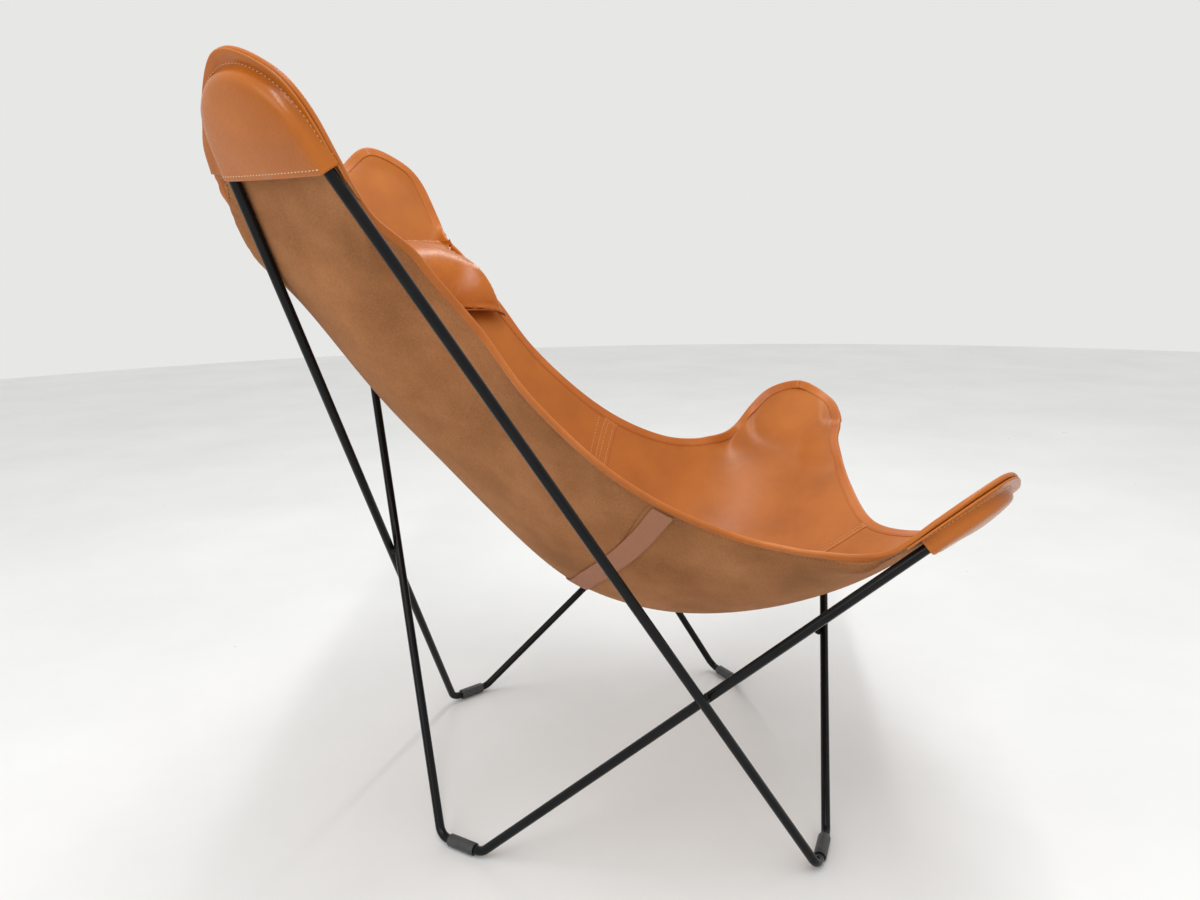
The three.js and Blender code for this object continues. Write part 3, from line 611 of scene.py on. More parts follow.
def suede_material(name, dark, base, light):
    m = Nodes(name)
    clouds = m.noise(11.0, 4.0, 0.55)
    fibres = m.noise(420.0, 3.0, 0.7)
    colour = m.ramp(m.math("ADD", m.math("MULTIPLY", clouds, 0.6), m.math("MULTIPLY", fibres, 0.4)),
                    [(0.30, dark), (0.5, base), (0.70, light)])
    m.set(Base_Color=colour, Roughness=m.span(fibres, 0.86, 1.0))
    m.set(Specular_IOR_Level=0.12, Sheen_Weight=0.12, Sheen_Roughness=0.5, Sheen_Tint=(0.85, 0.55, 0.36))
    m.bump([(fibres, 0.0007, 0.40), (m.noise(1500.0, 2.0), 0.0003, 0.4)])
    return m.material


def rod_material():
    m = Nodes("black_powder_coat")
    peel = m.noise(850.0, 2.0)
    clouds = m.noise(30.0, 4.0)
    m.set(Base_Color=m.ramp(clouds, [(0.3, (0.0045, 0.0045, 0.005)), (0.7, (0.008, 0.008, 0.009))]))
    m.set(Roughness=m.span(clouds, 0.13, 0.20), Specular_IOR_Level=0.16)
    m.bump([(peel, 0.00012, 0.30)])
    return m.material


def sleeve_material():
    m = Nodes("foot_plastic")
    scuffs = m.noise(160.0, 5.0, 0.65)
    colour = m.ramp(scuffs, [
        (0.35, (0.030, 0.031, 0.033)), (0.62, (0.052, 0.053, 0.056)), (0.8, (0.09, 0.09, 0.092))])
    m.set(Base_Color=colour, Roughness=m.span(scuffs, 0.42, 0.62))
    m.bump([(m.noise(1200.0, 2.0), 0.00015, 0.3), (scuffs, 0.0003, 0.2)])
    return m.material


def webbing_material():
    m = Nodes("salmon_webbing")
    uv = m.tree.nodes.new("ShaderNodeTexCoord").outputs["UV"]
    ribs = m.wave(95.0, "X", uv, 0.4)
    yarns = m.wave(26.0, "Y", uv, 0.6)
    weave = m.math("MULTIPLY", ribs, m.math("ADD", m.math("MULTIPLY", yarns, 0.4), 0.6))
    fuzz = m.noise(700.0, 3.0)
    shade = m.math("ADD", m.math("MULTIPLY", weave, 0.7), m.math("MULTIPLY", fuzz, 0.4))
    colour = m.ramp(shade, [
        (0.1, (0.28, 0.110, 0.058)), (0.55, (0.48, 0.210, 0.120)), (0.95, (0.62, 0.310, 0.190))])
    m.set(Base_Color=colour, Roughness=m.span(fuzz, 0.8, 0.95), Specular_IOR_Level=0.2)
    m.set(Sheen_Weight=0.2, Sheen_Roughness=0.4, Sheen_Tint=(0.8, 0.5, 0.4))
    m.bump([(weave, 0.0006, 0.8), (fuzz, 0.0003, 0.3)])
    return m.material


def thread_material(name, dark, light):
    m = Nodes(name)
    twist = m.wave(900.0, "DIAGONAL", m.coords, 1.5)
    m.set(Base_Color=m.ramp(twist, [(0.2, dark), (0.7, light)]), Roughness=m.span(twist, 0.55, 0.8))
    m.bump([(twist, 0.0002, 0.6)])
    return m.material


def floor_material():
    m = Nodes("pale_floor")
    clouds = m.noise(1.6, 5.0, 0.6)
    colour = m.ramp(clouds, [(0.3, (0.765, 0.77, 0.765)), (0.7, (0.835, 0.84, 0.835))])
    m.set(Base_Color=colour, Roughness=m.span(m.noise(5.0, 4.0), 0.22, 0.42), Specular_IOR_Level=0.4)
    return m.material


COGNAC = leather_material(
    "cognac_leather", (0.340, 0.089, 0.004), (0.425, 0.118, 0.007), (0.490, 0.148, 0.013))
COGNAC_POCKET = leather_material(
    "pocket_leather", (0.355, 0.090, 0.004), (0.440, 0.118, 0.007), (0.515, 0.150, 0.014), 0.26)
COGNAC_HEM = leather_material(
    "hem_leather", (0.370, 0.093, 0.006), (0.465, 0.126, 0.012), (0.565, 0.175, 0.030), 0.38)
SUEDE = suede_material("suede", (0.200, 0.083, 0.030), (0.330, 0.136, 0.052), (0.445, 0.198, 0.084))
# Dark leather for the pillow's lower piping: its darkness is painted shade along the seam under the pillow
PIPING_PAINTED_SHADE = leather_material(
    "piping_painted_shade", (0.150, 0.036, 0.004), (0.210, 0.052, 0.007), (0.270, 0.074, 0.012))
BLACK = rod_material()
PLASTIC = sleeve_material()
WEBBING = webbing_material()
CREAM_THREAD = thread_material("cream_thread", (0.60, 0.40, 0.20), (0.92, 0.74, 0.50))
SEAM_THREAD = thread_material("seam_thread", (0.52, 0.26, 0.10), (0.82, 0.50, 0.25))
TAN_THREAD = thread_material("tan_thread", (0.22, 0.060, 0.012), (0.44, 0.14, 0.035))


# Camera, light and floor


# The photograph's camera, fitted to the rods, feet and hems: place, angles in radians, focal length
CAMERA_PLACE = vec(-1292.9, 101.35, 757.6)
CAMERA_YAW, CAMERA_PITCH, CAMERA_ROLL = -0.06620, 0.20482, -0.02279
FOCAL_PIXELS = 910.3
PHOTO_WIDTH_PIXELS = 1200
FLOOR_DROP = 0.6
FLOOR_RADIUS = 7000.0


def add_camera():
    yaw, pitch, roll = CAMERA_YAW, CAMERA_PITCH, CAMERA_ROLL
    forward = vec(math.cos(pitch) * math.cos(yaw), math.cos(pitch) * math.sin(yaw), -math.sin(pitch))
    right = vec(math.sin(yaw), -math.cos(yaw), 0)
    up = np.cross(right, forward)
    turned_right = math.cos(roll) * right + math.sin(roll) * up
    turned_up = math.cos(roll) * up - math.sin(roll) * right
    camera = bpy.data.cameras.new("camera")
    camera.sensor_width = 36
    camera.sensor_fit = "HORIZONTAL"
    camera.lens = camera.sensor_width * FOCAL_PIXELS / PHOTO_WIDTH_PIXELS
    camera.clip_start = 0.02
    obj = link(bpy.data.objects.new("camera", camera))
    turn = Matrix(np.column_stack([turned_right, turned_up, -forward]).tolist()).to_4x4()
    place = (CAMERA_PLACE + SHIFT) * MM
    obj.matrix_world = Matrix.Translation(place.tolist()) @ turn
    bpy.context.scene.camera = obj


def add_area(name, place, target, width, height, power):
    light = bpy.data.lights.new(name, "AREA")
    light.shape = "RECTANGLE"
    light.size = width
    light.size_y = height
    light.energy = power
    obj = link(bpy.data.objects.new(name, light))
    obj.location = place
    obj.rotation_euler = (Vector(target) - Vector(place)).to_track_quat("-Z", "Y").to_euler()


def add_stage():
    bpy.context.scene.view_settings.view_transform = "Standard"
    world = bpy.data.worlds.new("room")
    world.use_nodes = True
    background = world.node_tree.nodes["Background"]
    background.inputs["Color"].default_value = (1.0, 1.0, 0.985, 1)
    background.inputs["Strength"].default_value = 0.80
    bpy.context.scene.world = world
    add_area("ceiling_strip_near", (-1.2, 0.2, 2.9), (0, 0, 0.4), 0.16, 2.6, 32)
    add_area("ceiling_strip_far", (1.2, -0.4, 2.9), (0, 0, 0.4), 0.16, 2.6, 22)
    add_area("room_side", (-2.4, 2.0, 1.9), (0, 0, 0.5), 1.8, 1.6, 16)
    rings, spokes = 12, 64
    angles = np.linspace(0, 2 * math.pi, spokes, endpoint=False)
    points = [vec(0, 0, -FLOOR_DROP)]
    for ring in range(1, rings + 1):
        reach = FLOOR_RADIUS * (ring / rings) ** 2
        points += [vec(reach * math.cos(a), reach * math.sin(a), -FLOOR_DROP) for a in angles]
    faces = [[0, 1 + k, 1 + (k + 1) % spokes] for k in range(spokes)]
    faces += grid_faces(rings, spokes, 1, wrap_columns=True)
    make_object("floor", points, faces, [floor_material()])


# Frame pieces


def loop_path(bends):
    tip, bend = 25, 9
    runs = [
        bends["rear_tip"].points(tip)[::-1], bends["front_foot_out"].points(bend),
        bends["front_foot_in"].points(bend), bends["front_tip"].points(tip)[::-1],
        bends["rear_foot_out"].points(bend)[::-1], bends["rear_foot_in"].points(bend)[::-1],
    ]
    path = []
    for run, following in zip(runs, runs[1:] + runs[:1]):
        path += [run, np.linspace(run[-1], following[0], 12)[1:-1]]
    return np.vstack(path)


def add_loop(name, bends, rear_side, front_side):
    rings = tube_points(loop_path(bends), ROD_RADIUS, 28, True)
    faces = grid_faces(*rings.shape[:2], wrap_rows=True, wrap_columns=True)
    nodes = [
        f"rear_{rear_side}_side_leg", f"rear_{rear_side}_back_leg", f"rear_{rear_side}_tip_bend",
        f"front_{front_side}_side_leg", f"front_{front_side}_front_leg", f"front_{front_side}_tip_bend",
        f"rear_{front_side}_foot_bend", f"front_{rear_side}_foot_bend",
    ]
    piece(make_object(name, rings, faces, [BLACK]), "frame_rod", *nodes)


def add_sleeve(name, first, second):
    middle = (first.end + second.start) / 2
    axis = unit(second.start - first.end)
    length = SLEEVE_LENGTH / 2
    outer, inner, edge = SLEEVE_RADIUS, ROD_RADIUS + JOINT_GAP, 0.7
    half = [
        (length / 2, outer), (length - edge, outer), (length - 0.2, outer - 0.3), (length, outer - edge),
        (length, inner + 0.25), (length - 0.25, inner),
    ]
    profile = [(-along, reach) for along, reach in reversed(half)] + [(0, outer)] + half + [(0, inner)]
    side = unit(np.cross(axis, vec(0, 0, 1)))
    up = np.cross(side, axis)
    angles = np.linspace(0, 2 * math.pi, 56, endpoint=False)
    round_about = [math.cos(a) * side + math.sin(a) * up for a in angles]
    points = [middle + axis * along + reach * way for along, reach in profile for way in round_about]
    faces = grid_faces(len(profile), len(angles), wrap_rows=True, wrap_columns=True)
    piece(make_object(name, points, faces, [PLASTIC]), "foot_sleeve", name.replace("plastic_", ""))


# A weld bead's half sizes, across both rods, into the crotch and along it, and how far in its middle lies
WELD_SIZE = (7.0, 5.2, 4.6)
WELD_REACH = 7.2


def add_weld(name, node, first, second, side):
    """A rippled bead in the crotch of two crossing rods."""
    a, b = unit(first[1] - first[0]), unit(second[1] - second[0])
    normal = unit(np.cross(a, b))
    offset = second[0] - first[0]
    cross = np.cross(b, normal)
    on_first = first[0] + a * (offset @ cross) / (a @ cross)
    crotch = unit(a + b)
    crotch = crotch if crotch @ side > 0 else -crotch
    centre = on_first + normal * (offset @ normal) / 2 + crotch * WELD_REACH
    third = np.cross(crotch, normal)
    rows, columns = 24, 36
    points = []
    for i in range(rows):
        polar = math.pi * (i + 0.5) / rows
        for j in range(columns):
            angle = 2 * math.pi * j / columns
            ripple = 1 + 0.05 * math.sin(9 * polar) * math.sin(polar)
            ball = vec(math.cos(polar), math.sin(polar) * math.cos(angle), math.sin(polar) * math.sin(angle))
            x, y, z = ball * WELD_SIZE
            points.append(centre + ripple * (x * normal + y * crotch + z * third))
    faces = grid_faces(rows, columns, wrap_columns=True)
    faces += end_caps(rows, columns)
    piece(make_object(name, points, faces, [BLACK]), "frame_rod", node)


def add_frame():
    add_loop("outer_loop_rod", OUTER_BENDS, "right", "left")
    add_loop("inner_loop_rod", INNER_BENDS, "left", "right")
    feet = [
        ("rear_left", OUTER_BENDS, "rear_foot_in", "rear_foot_out"),
        ("front_right", OUTER_BENDS, "front_foot_out", "front_foot_in"),
        ("rear_right", INNER_BENDS, "rear_foot_in", "rear_foot_out"),
        ("front_left", INNER_BENDS, "front_foot_out", "front_foot_in"),
    ]
    for foot, bends, first, second in feet:
        add_sleeve(f"{foot}_plastic_foot_sleeve", bends[first], bends[second])
    places = crossings(OUTER, INNER)
    for place, node, side in (
        ("right", "right_side_weld", vec(0, -1, 0)), ("left", "left_side_weld", vec(0, -1, 0)),
        ("rear", "rear_weld", vec(0, 0, -1)), ("front", "front_weld", vec(0, 0, -1)),
    ):
        add_weld(f"{place}_weld_bead", node, places[place][0], places[place][1], side)


# Stitching


def stitch_row(places, directions, normals, length, radius):
    """Points and faces of a row of stitches lying on a surface."""
    sides, profile = 6, ((-0.5, 0.15), (-0.32, 0.8), (0.0, 1.0), (0.32, 0.8), (0.5, 0.15))
    points, faces = [], []
    angles = np.linspace(0, 2 * math.pi, sides, endpoint=False)
    for place, direction, normal in zip(places, directions, normals):
        side = np.cross(direction, normal)
        first = len(points)
        for share, width in profile:
            sink = normal * radius * (0.5 - 1.6 * (2 * share) ** 2)
            centre = place + direction * length * share + sink
            points += [centre + radius * width * (math.cos(a) * side + math.sin(a) * normal) for a in angles]
        faces += grid_faces(len(profile), sides, first, wrap_columns=True)
        faces += end_caps(len(profile), sides, first)
    return points, faces


def along_path(points, pitch):
    """Row numbers, with fractions, at an even pitch along a path."""
    lengths = path_lengths(points)
    count = max(int(lengths[-1] / pitch), 1)
    targets = (np.arange(count) + 0.5) * lengths[-1] / count
    return np.interp(targets, lengths, np.arange(len(points)))


def at_rows(values, rows):
    low = np.minimum(rows.astype(int), len(values) - 2)
    share = (rows - low)[:, None]
    return values[low] * (1 - share) + values[low + 1] * share


def add_stitches(name, lines, material, slot, pitch=5.2, length=4.0, radius=0.5):
    """One piece with the stitches of several lines, each line (points, normals)."""
    points, faces = [], []
    for line, normals in lines:
        rows = along_path(line, pitch)
        directions = unit(at_rows(np.gradient(line, axis=0), rows))
        up = at_rows(normals, rows)
        up = unit(up - directions * (up * directions).sum(axis=1, keepdims=True))
        new_points, new_faces = stitch_row(at_rows(line, rows), directions, up, length, radius)
        faces += [[k + len(points) for k in face] for face in new_faces]
        points += new_points
    piece(make_object(name, points, faces, [material]), slot)


# Sling pieces


def panel_grid(across_from, across_to, columns, run_from, run_to, rows):
    across = np.linspace(across_from, across_to, columns + 1)[None, :]
    run = np.linspace(run_from, run_to, rows + 1)[:, None]
    return sling(across, run), sling_normal(across, run)


def add_panel(name, node, grid):
    middle, normals = grid
    obj = piece(sheet_object(name, middle, normals, LEATHER, [COGNAC, SUEDE, SUEDE]), "sling_leather", node)


SEAM_GAP = JOINT_GAP / 2 / RUN_LENGTH
MIDDLE_GAP = JOINT_GAP / 2 / HALF_WIDTH
LAP_THICKNESS = 1.1
LAP_LIFT = 0.45


def add_lap(name, across, run):
    """The edge of a panel that laps over its neighbour along a seam."""
    normals = sling_normal(across, run)
    middle = sling(across, run) + normals * (LEATHER / 2 + LAP_LIFT)
    return piece(sheet_object(name, middle, normals, LAP_THICKNESS, [COGNAC] * 3), "sling_leather")


def add_panels():
    across_lap = add_lap("back_seam_lap", np.linspace(-0.975, 0.975, 161)[None, :],
                         1 + np.array([-2.5, -1.0, 2.0, 5.5, 9.0, 11.0, 12.0])[:, None] / RUN_LENGTH)
    add_panel("back_panel_leather", "sling_back_panel",
              panel_grid(-1, 1, 96, 0, 1 - SEAM_GAP, 112))
    middle_lap = add_lap("seat_seam_lap", np.array([-6.0, -4.5, -1.5, 1.5, 4.5, 6.0])[None, :] / HALF_WIDTH,
                         np.linspace(1.04, 1.976, 121)[:, None])
    add_panel("seat_right_leather", "sling_seat_right_half",
              panel_grid(-1, -MIDDLE_GAP, 48, 1 + SEAM_GAP, 2, 84))
    add_panel("seat_left_leather", "sling_seat_left_half", panel_grid(MIDDLE_GAP, 1, 48, 1 + SEAM_GAP, 2, 84))


class Outline:
    """The sling's edge as one closed path: right side, front, left side, top."""

    def __init__(self, spacing=5.0):
        fine = np.linspace(0, 1, 1200, endpoint=False)
        one = np.ones_like(fine)
        across = np.concatenate([-one, 2 * fine - 1, one, 1 - 2 * fine])
        run = np.concatenate([2 * fine, 2 * one, 2 - 2 * fine, 0 * one])
        points = sling(across, run)
        loop = np.vstack([points, points[:1]])
        lengths = path_lengths(loop)
        self.count = int(lengths[-1] / spacing)
        self.spacing = lengths[-1] / self.count
        targets = np.arange(self.count) * self.spacing
        pick = np.clip(np.searchsorted(lengths, targets), 0, len(points) - 1)
        self.points = np.column_stack([np.interp(targets, lengths, loop[:, k]) for k in range(3)])
        self.normals = unit(sling_normal(across, run)[pick])
        for _ in range(4):
            self.normals = unit(np.roll(self.normals, 1, 0) + 2 * self.normals + np.roll(self.normals, -1, 0))
        self.tangents = unit(np.roll(self.points, -1, axis=0) - np.roll(self.points, 1, axis=0))
        self.out = unit(np.cross(self.tangents, self.normals))
        self.normals = np.cross(self.out, self.tangents)
        self.side = pick // 1200

    def line(self, outward, upward):
        return self.points + outward * self.out + upward * self.normals

    def at(self, values, place):
        """Values of the path between its points, at places counted in points."""
        low = np.floor(place).astype(int)
        share = (place - low)[..., None]
        return values[low % self.count] * (1 - share) + values[(low + 1) % self.count] * share

    def nearest(self, points):
        """Places along the path nearest to each of a row of points, running on without a jump."""
        gaps = np.linalg.norm(points[:, None] - self.points[None], axis=-1)
        index = gaps.argmin(axis=1)
        along = ((points - self.points[index]) * self.tangents[index]).sum(axis=1) / self.spacing
        place = np.unwrap(index + np.clip(along, -1, 1), period=self.count)
        padded = np.concatenate([2 * place[0] - place[8:0:-1], place, 2 * place[-1] - place[-2:-10:-1]])
        return np.convolve(padded, np.hanning(19)[1:-1] / np.hanning(19).sum(), "valid")


def hem_profile():
    """Section of the turned edge as (outward, upward): a band inside, a round rim, a short turn below."""
    half = LEATHER / 2
    rim_radius = half + 1.1
    rim_centre = HEM_REACH - rim_radius
    upper = [(-11.0, half - 0.5), (-10.9, half + 0.3), (-10.6, half + 0.75), (-9.8, half + 0.95)]
    upper += [(-7.0, half + 0.95), (-4.0, half + 1.0), (-1.5, half + 1.08), (0.8, half + 1.1)]
    angles = np.radians(np.linspace(84, -84, 13))
    rim = [(rim_centre + rim_radius * math.cos(a), rim_radius * math.sin(a)) for a in angles]
    lower = [(0.8, -half - 1.1), (-1.6, -half - 0.85), (-3.2, -half - 0.4), (-3.9, -half + 0.3)]
    return np.array(upper + rim + lower)


# How much thicker the turned edge is at a tip, up to which distance from the rod, and over which it thins
TIP_THICKER, THICK_REACH, THICK_FADE = 0.22, 25.0, 35.0


def hem_fullness(points):
    """The turned edge is thicker round the four tips, where it takes in the pocket's leather."""
    gap = np.full(len(points), 1e9)
    for plane in (REAR_PLANE, FRONT_PLANE):
        for side in (1, MIRROR):
            gap = np.minimum(gap, np.linalg.norm(points * side - plane.centre, axis=1) - plane.radius)
    return 1 + TIP_THICKER * (1 - smooth((gap - THICK_REACH) / THICK_FADE))


def add_hem(outline):
    profile = hem_profile()
    full = hem_fullness(outline.points)
    names = ["right_side_hem", "front_hem", "left_side_hem", "top_hem"]
    for side, name in enumerate(names):
        rows = np.flatnonzero(outline.side == side)
        rows = np.append(rows, (rows[-1] + 1) % outline.count)
        points = outline.points[rows][:, None] + profile[None, :, :1] * outline.out[rows][:, None]
        rise = profile[None, :, 1:] * np.where(profile[:, 1] > 0, full[rows][:, None], 1.0)[..., None]
        points = points + rise * outline.normals[rows][:, None]
        width = len(profile)
        faces = grid_faces(len(rows), width) + end_caps(len(rows), width)
        starts = range(0, (len(rows) - 1) * width, width)
        faces += [[k, k + width, k + 2 * width - 1, k + width - 1] for k in starts]
        obj = make_object(f"{name}_leather", points, faces, [COGNAC_HEM])
        piece(obj, "hem_leather", name)
    closed = np.append(np.arange(outline.count), 0)
    upper = (outline.line(-STITCH_INSET, LEATHER / 2 + 0.95)[closed], outline.normals[closed])
    lower = (outline.line(-STITCH_INSET, -LEATHER / 2)[closed], -outline.normals[closed])
    add_stitches("hem_stitching", [upper, lower], TAN_THREAD, "hem_leather")


def add_seams():
    """Two rows of stitches through each lap, and a third beside the back's seam."""
    across = np.linspace(-0.965, 0.965, 160)
    lines = []
    for distance, height in ((-7.5, 0.0), (2.0, 1.0), (8.5, 1.0)):
        run = np.full_like(across, 1 + distance / RUN_LENGTH)
        normals = sling_normal(across, run)
        lines.append((sling(across, run) + normals * (LEATHER / 2 + height), normals))
    run = np.linspace(1.045, 1.970, 120)
    for distance in (-3.2, 3.2):
        place = np.full_like(run, distance / HALF_WIDTH)
        normals = sling_normal(place, run)
        lines.append((sling(place, run) + normals * (LEATHER / 2 + 1.0), normals))
    add_stitches("seam_stitching", lines, SEAM_THREAD, "sling_leather")


# Corner pockets


def to_sling(points, plane, depth):
    """Points near a tip, set to a depth below the sling's middle surface over the plane of that tip."""
    side = np.where(points[..., :1] > 0, MIRROR, 1.0)
    local = points * side - plane.centre
    height = plane.leather(local @ plane.down, local @ plane.across) - depth
    return (points * side + (height - local @ plane.lift)[..., None] * plane.lift) * side


class Pocket:
    """Lines from the sling's edge, over the rod and under it, to the middle of the pocket's mouth."""

    FLANGE = np.array([0.0, 0.08, 0.22, 0.4, 0.58, 0.74, 0.87, 0.95, 1.0])
    SHOULDER = 10.5
    EDGE = 4.4
    # How far outside the rod the sling's edge is looked for
    EDGE_SEARCH = 18.0
    # The inner end's tail, how far from the mouth a tail begins and how sharply it turns
    INNER_TAIL, TAIL_SPAN, TAIL_TURN = 6.0, 34.0, 1.7
    # Room between sling and flange, and how much more of it lies under the hem's turned edge
    ROOM, HEM_ROOM, HEM_FROM, HEM_SPAN = 0.1, 1.1, -6.0, 4.0
    # Where the flange leaves the tip's plane for the free sling
    FREE_FROM, FREE_SPAN = -8.0, 20.0
    # Depth of the dome at the rod, its extra depth, how much of that its mouth takes away, and its roundness
    DOME_DEPTH, DOME_FULL, DOME_TIGHT, DOME_POWER = 8.6, 5.0, 3.2, 0.8
    MOUTH_PAST_LEGS = 3.0

    def __init__(self, bend, like, mouth, slant, tail, outline):
        self.plane = TipPlane(bend, like.rim_up, like.crown, like.flat)
        self.like = like
        self.mouth = mouth + slant / 2
        self.slant = slant
        self.tail = tail
        self.outline = outline
        half, radius = self.plane.half, self.plane.radius
        self.arc = 2 * radius * (math.pi / 2 - half)
        outer, inner = ((down + radius * math.sin(half)) / math.cos(half) for down in (mouth + slant, mouth))
        self.along = np.linspace(-self.arc / 2 - outer, self.arc / 2 + inner, 141)

    def rod(self):
        """Down and side of the rod's path, and its outward direction."""
        radius, half = self.plane.radius, self.plane.half
        sign = np.sign(self.along)
        past = np.maximum(np.abs(self.along) - self.arc / 2, 0)
        angle = np.minimum(np.abs(self.along), self.arc / 2) / radius
        down = -radius * np.cos(angle) + past * math.cos(half)
        side = sign * (radius * np.sin(angle) + past * math.sin(half))
        return down, side, -np.cos(angle), sign * np.sin(angle)

    def dome(self, down, side):
        """Height of the pocket between the legs: a low dome, drawn tight towards its mouth."""
        radius, half = self.plane.radius, self.plane.half
        width = np.where(down < 0, radius, radius / math.cos(half) + down * math.tan(half))
        reach = np.where(down < 0, np.hypot(down, side), np.abs(side)) / width
        tight = smooth((down + 0.5 * radius) / (0.5 * radius + self.mouth))
        full = self.DOME_FULL - self.DOME_TIGHT * tight
        return -self.DOME_DEPTH - full * np.clip(1 - reach ** 2, 0, 1) ** self.DOME_POWER

    def flange(self, down, side, out_down, out_side):
        """The part that lies under the sling's edge, with a tail that runs on past the mouth."""
        place = self.outline.nearest(self.plane.at(
            down + self.EDGE_SEARCH * out_down, side + self.EDGE_SEARCH * out_side, TIP_LIFT))
        edge = self.outline.at(self.outline.points, place)
        rod = self.plane.at(down, side, TIP_LIFT)
        margin = np.linalg.norm(edge - rod, axis=1)
        to_mouth = np.minimum(self.along - self.along[0], self.along[-1] - self.along)
        near_mouth = smooth(1 - to_mouth / self.TAIL_SPAN)
        tail = np.where(self.along < 0, -self.tail, self.INNER_TAIL) * near_mouth
        step = np.sign(place[-1] - place[0]) * tail / self.outline.spacing
        rows = []
        for share in self.FLANGE:
            reach = self.EDGE + share * (self.SHOULDER - margin - self.EDGE)
            spot = place + step * (1 - share) ** self.TAIL_TURN
            base = self.outline.at(self.outline.points, spot)
            out = self.outline.at(self.outline.out, spot)
            normal = self.outline.at(self.outline.normals, spot)
            under_hem = self.HEM_ROOM * smooth((reach - self.HEM_FROM) / self.HEM_SPAN)
            depth = LEATHER / 2 + POCKET_LEATHER / 2 + self.ROOM + under_hem
            flat = to_sling(base + reach[:, None] * out, self.like, depth)
            free = base + reach[:, None] * out - depth[:, None] * normal
            below = (base - self.plane.centre) @ self.plane.down - self.like.flat
            past_flat = smooth((below - self.FREE_FROM) / self.FREE_SPAN)[:, None]
            rows.append(flat * (1 - past_flat) + free * past_flat)
        return rows

    def grid(self):
        down, side, out_down, out_side = self.rod()
        rows = self.flange(down, side, out_down, out_side)
        top = (rows[-1] - self.plane.centre) @ self.plane.lift
        foot, shoulder = -0.4, top - 1.8
        wall = [(9.7, top - 0.5), (9.0, shoulder), (8.5, shoulder + (foot - shoulder) * 0.4),
                (8.2, shoulder + (foot - shoulder) * 0.7), (8.0, foot), (7.2, -3.2), (5.4, -5.9), (2.6, -7.7),
                (0.0, -8.5)]
        for offset, lift in wall:
            rows.append(self.plane.at(down + offset * out_down, side + offset * out_side, lift))
        for share in (0.04, 0.09, 0.15, 0.22, 0.3, 0.39, 0.49, 0.6, 0.72, 0.86, 1.0):
            inner_down = down + (self.mouth - down) * share
            inner_side = side * (1 - share)
            rows.append(self.plane.at(inner_down, inner_side, self.dome(inner_down, inner_side)))
        return np.array(rows)

    def mouth_row(self, inset):
        """A line of the outer face, parallel to the mouth."""
        radius, half = self.plane.radius, self.plane.half
        share = np.linspace(-1, 1, 90)
        down = self.mouth - inset - self.slant / 2 * share
        side = share * (radius / math.cos(half) + down * math.tan(half) + self.MOUTH_PAST_LEGS)
        return self.plane.at(down, side, self.dome(down, side) - POCKET_LEATHER / 2)


def grid_normals(points):
    along = np.gradient(points, axis=0)
    onward = np.gradient(points, axis=1)
    return np.cross(along, onward)


def add_pocket(tip, pocket):
    points = pocket.grid()
    normals = grid_normals(points)
    if (normals[-4] @ pocket.plane.lift).mean() > 0:
        normals = -normals
    normals[-1] = -pocket.plane.lift
    normals = unit(normals)
    number = np.arange(points.shape[0] * points.shape[1]).reshape(points.shape[:2])
    rim = np.concatenate([number[0, :-1], number[:-1, -1], number[:0:-1, 0]])
    obj = sheet_object(
        f"{tip}_pocket_leather", points, normals, POCKET_LEATHER, [COGNAC_POCKET, SUEDE, COGNAC_HEM], rim)
    piece(obj, "pocket_leather", f"{tip}_pocket")
    return points + normals * POCKET_LEATHER / 2, normals


def add_pockets(outline):
    rear = (REAR_PLANE, REAR_MOUTH, REAR_SLANT, REAR_TAIL)
    front = (FRONT_PLANE, FRONT_MOUTH, FRONT_SLANT, FRONT_TAIL)
    tips = [
        ("rear_right", OUTER_BENDS["rear_tip"], rear), ("front_left", OUTER_BENDS["front_tip"], front),
        ("rear_left", INNER_BENDS["rear_tip"], rear), ("front_right", INNER_BENDS["front_tip"], front),
    ]
    flange_lines, mouth_lines = [], []
    for tip, bend, form in tips:
        pocket = Pocket(bend, *form, outline)
        surface, normals = add_pocket(tip, pocket)
        flange_lines.append((surface[6, 3:-3], normals[6, 3:-3]))
        row = pocket.mouth_row(5.0)
        mouth_lines.append((row, np.broadcast_to(-pocket.plane.lift, row.shape)))
    add_stitches("pocket_flange_stitching", flange_lines, SEAM_THREAD, "pocket_leather", 5.0, 3.4, 0.55)
    add_stitches("pocket_mouth_stitching", mouth_lines, CREAM_THREAD, "pocket_leather", 5.6, 3.6, 0.6)


# Strap and pillow


STRAP_WIDTH, STRAP_THICKNESS, STRAP_GAP = 28.0, 2.0, 0.5
# The strap's share of the half width, where it begins to turn to the front, its run and how far it turns
STRAP_REACH, STRAP_TURN, STRAP_RUN, STRAP_FORWARD = 0.985, 0.4, 0.978, 0.057
WEAVE_REPEATS = 2.2


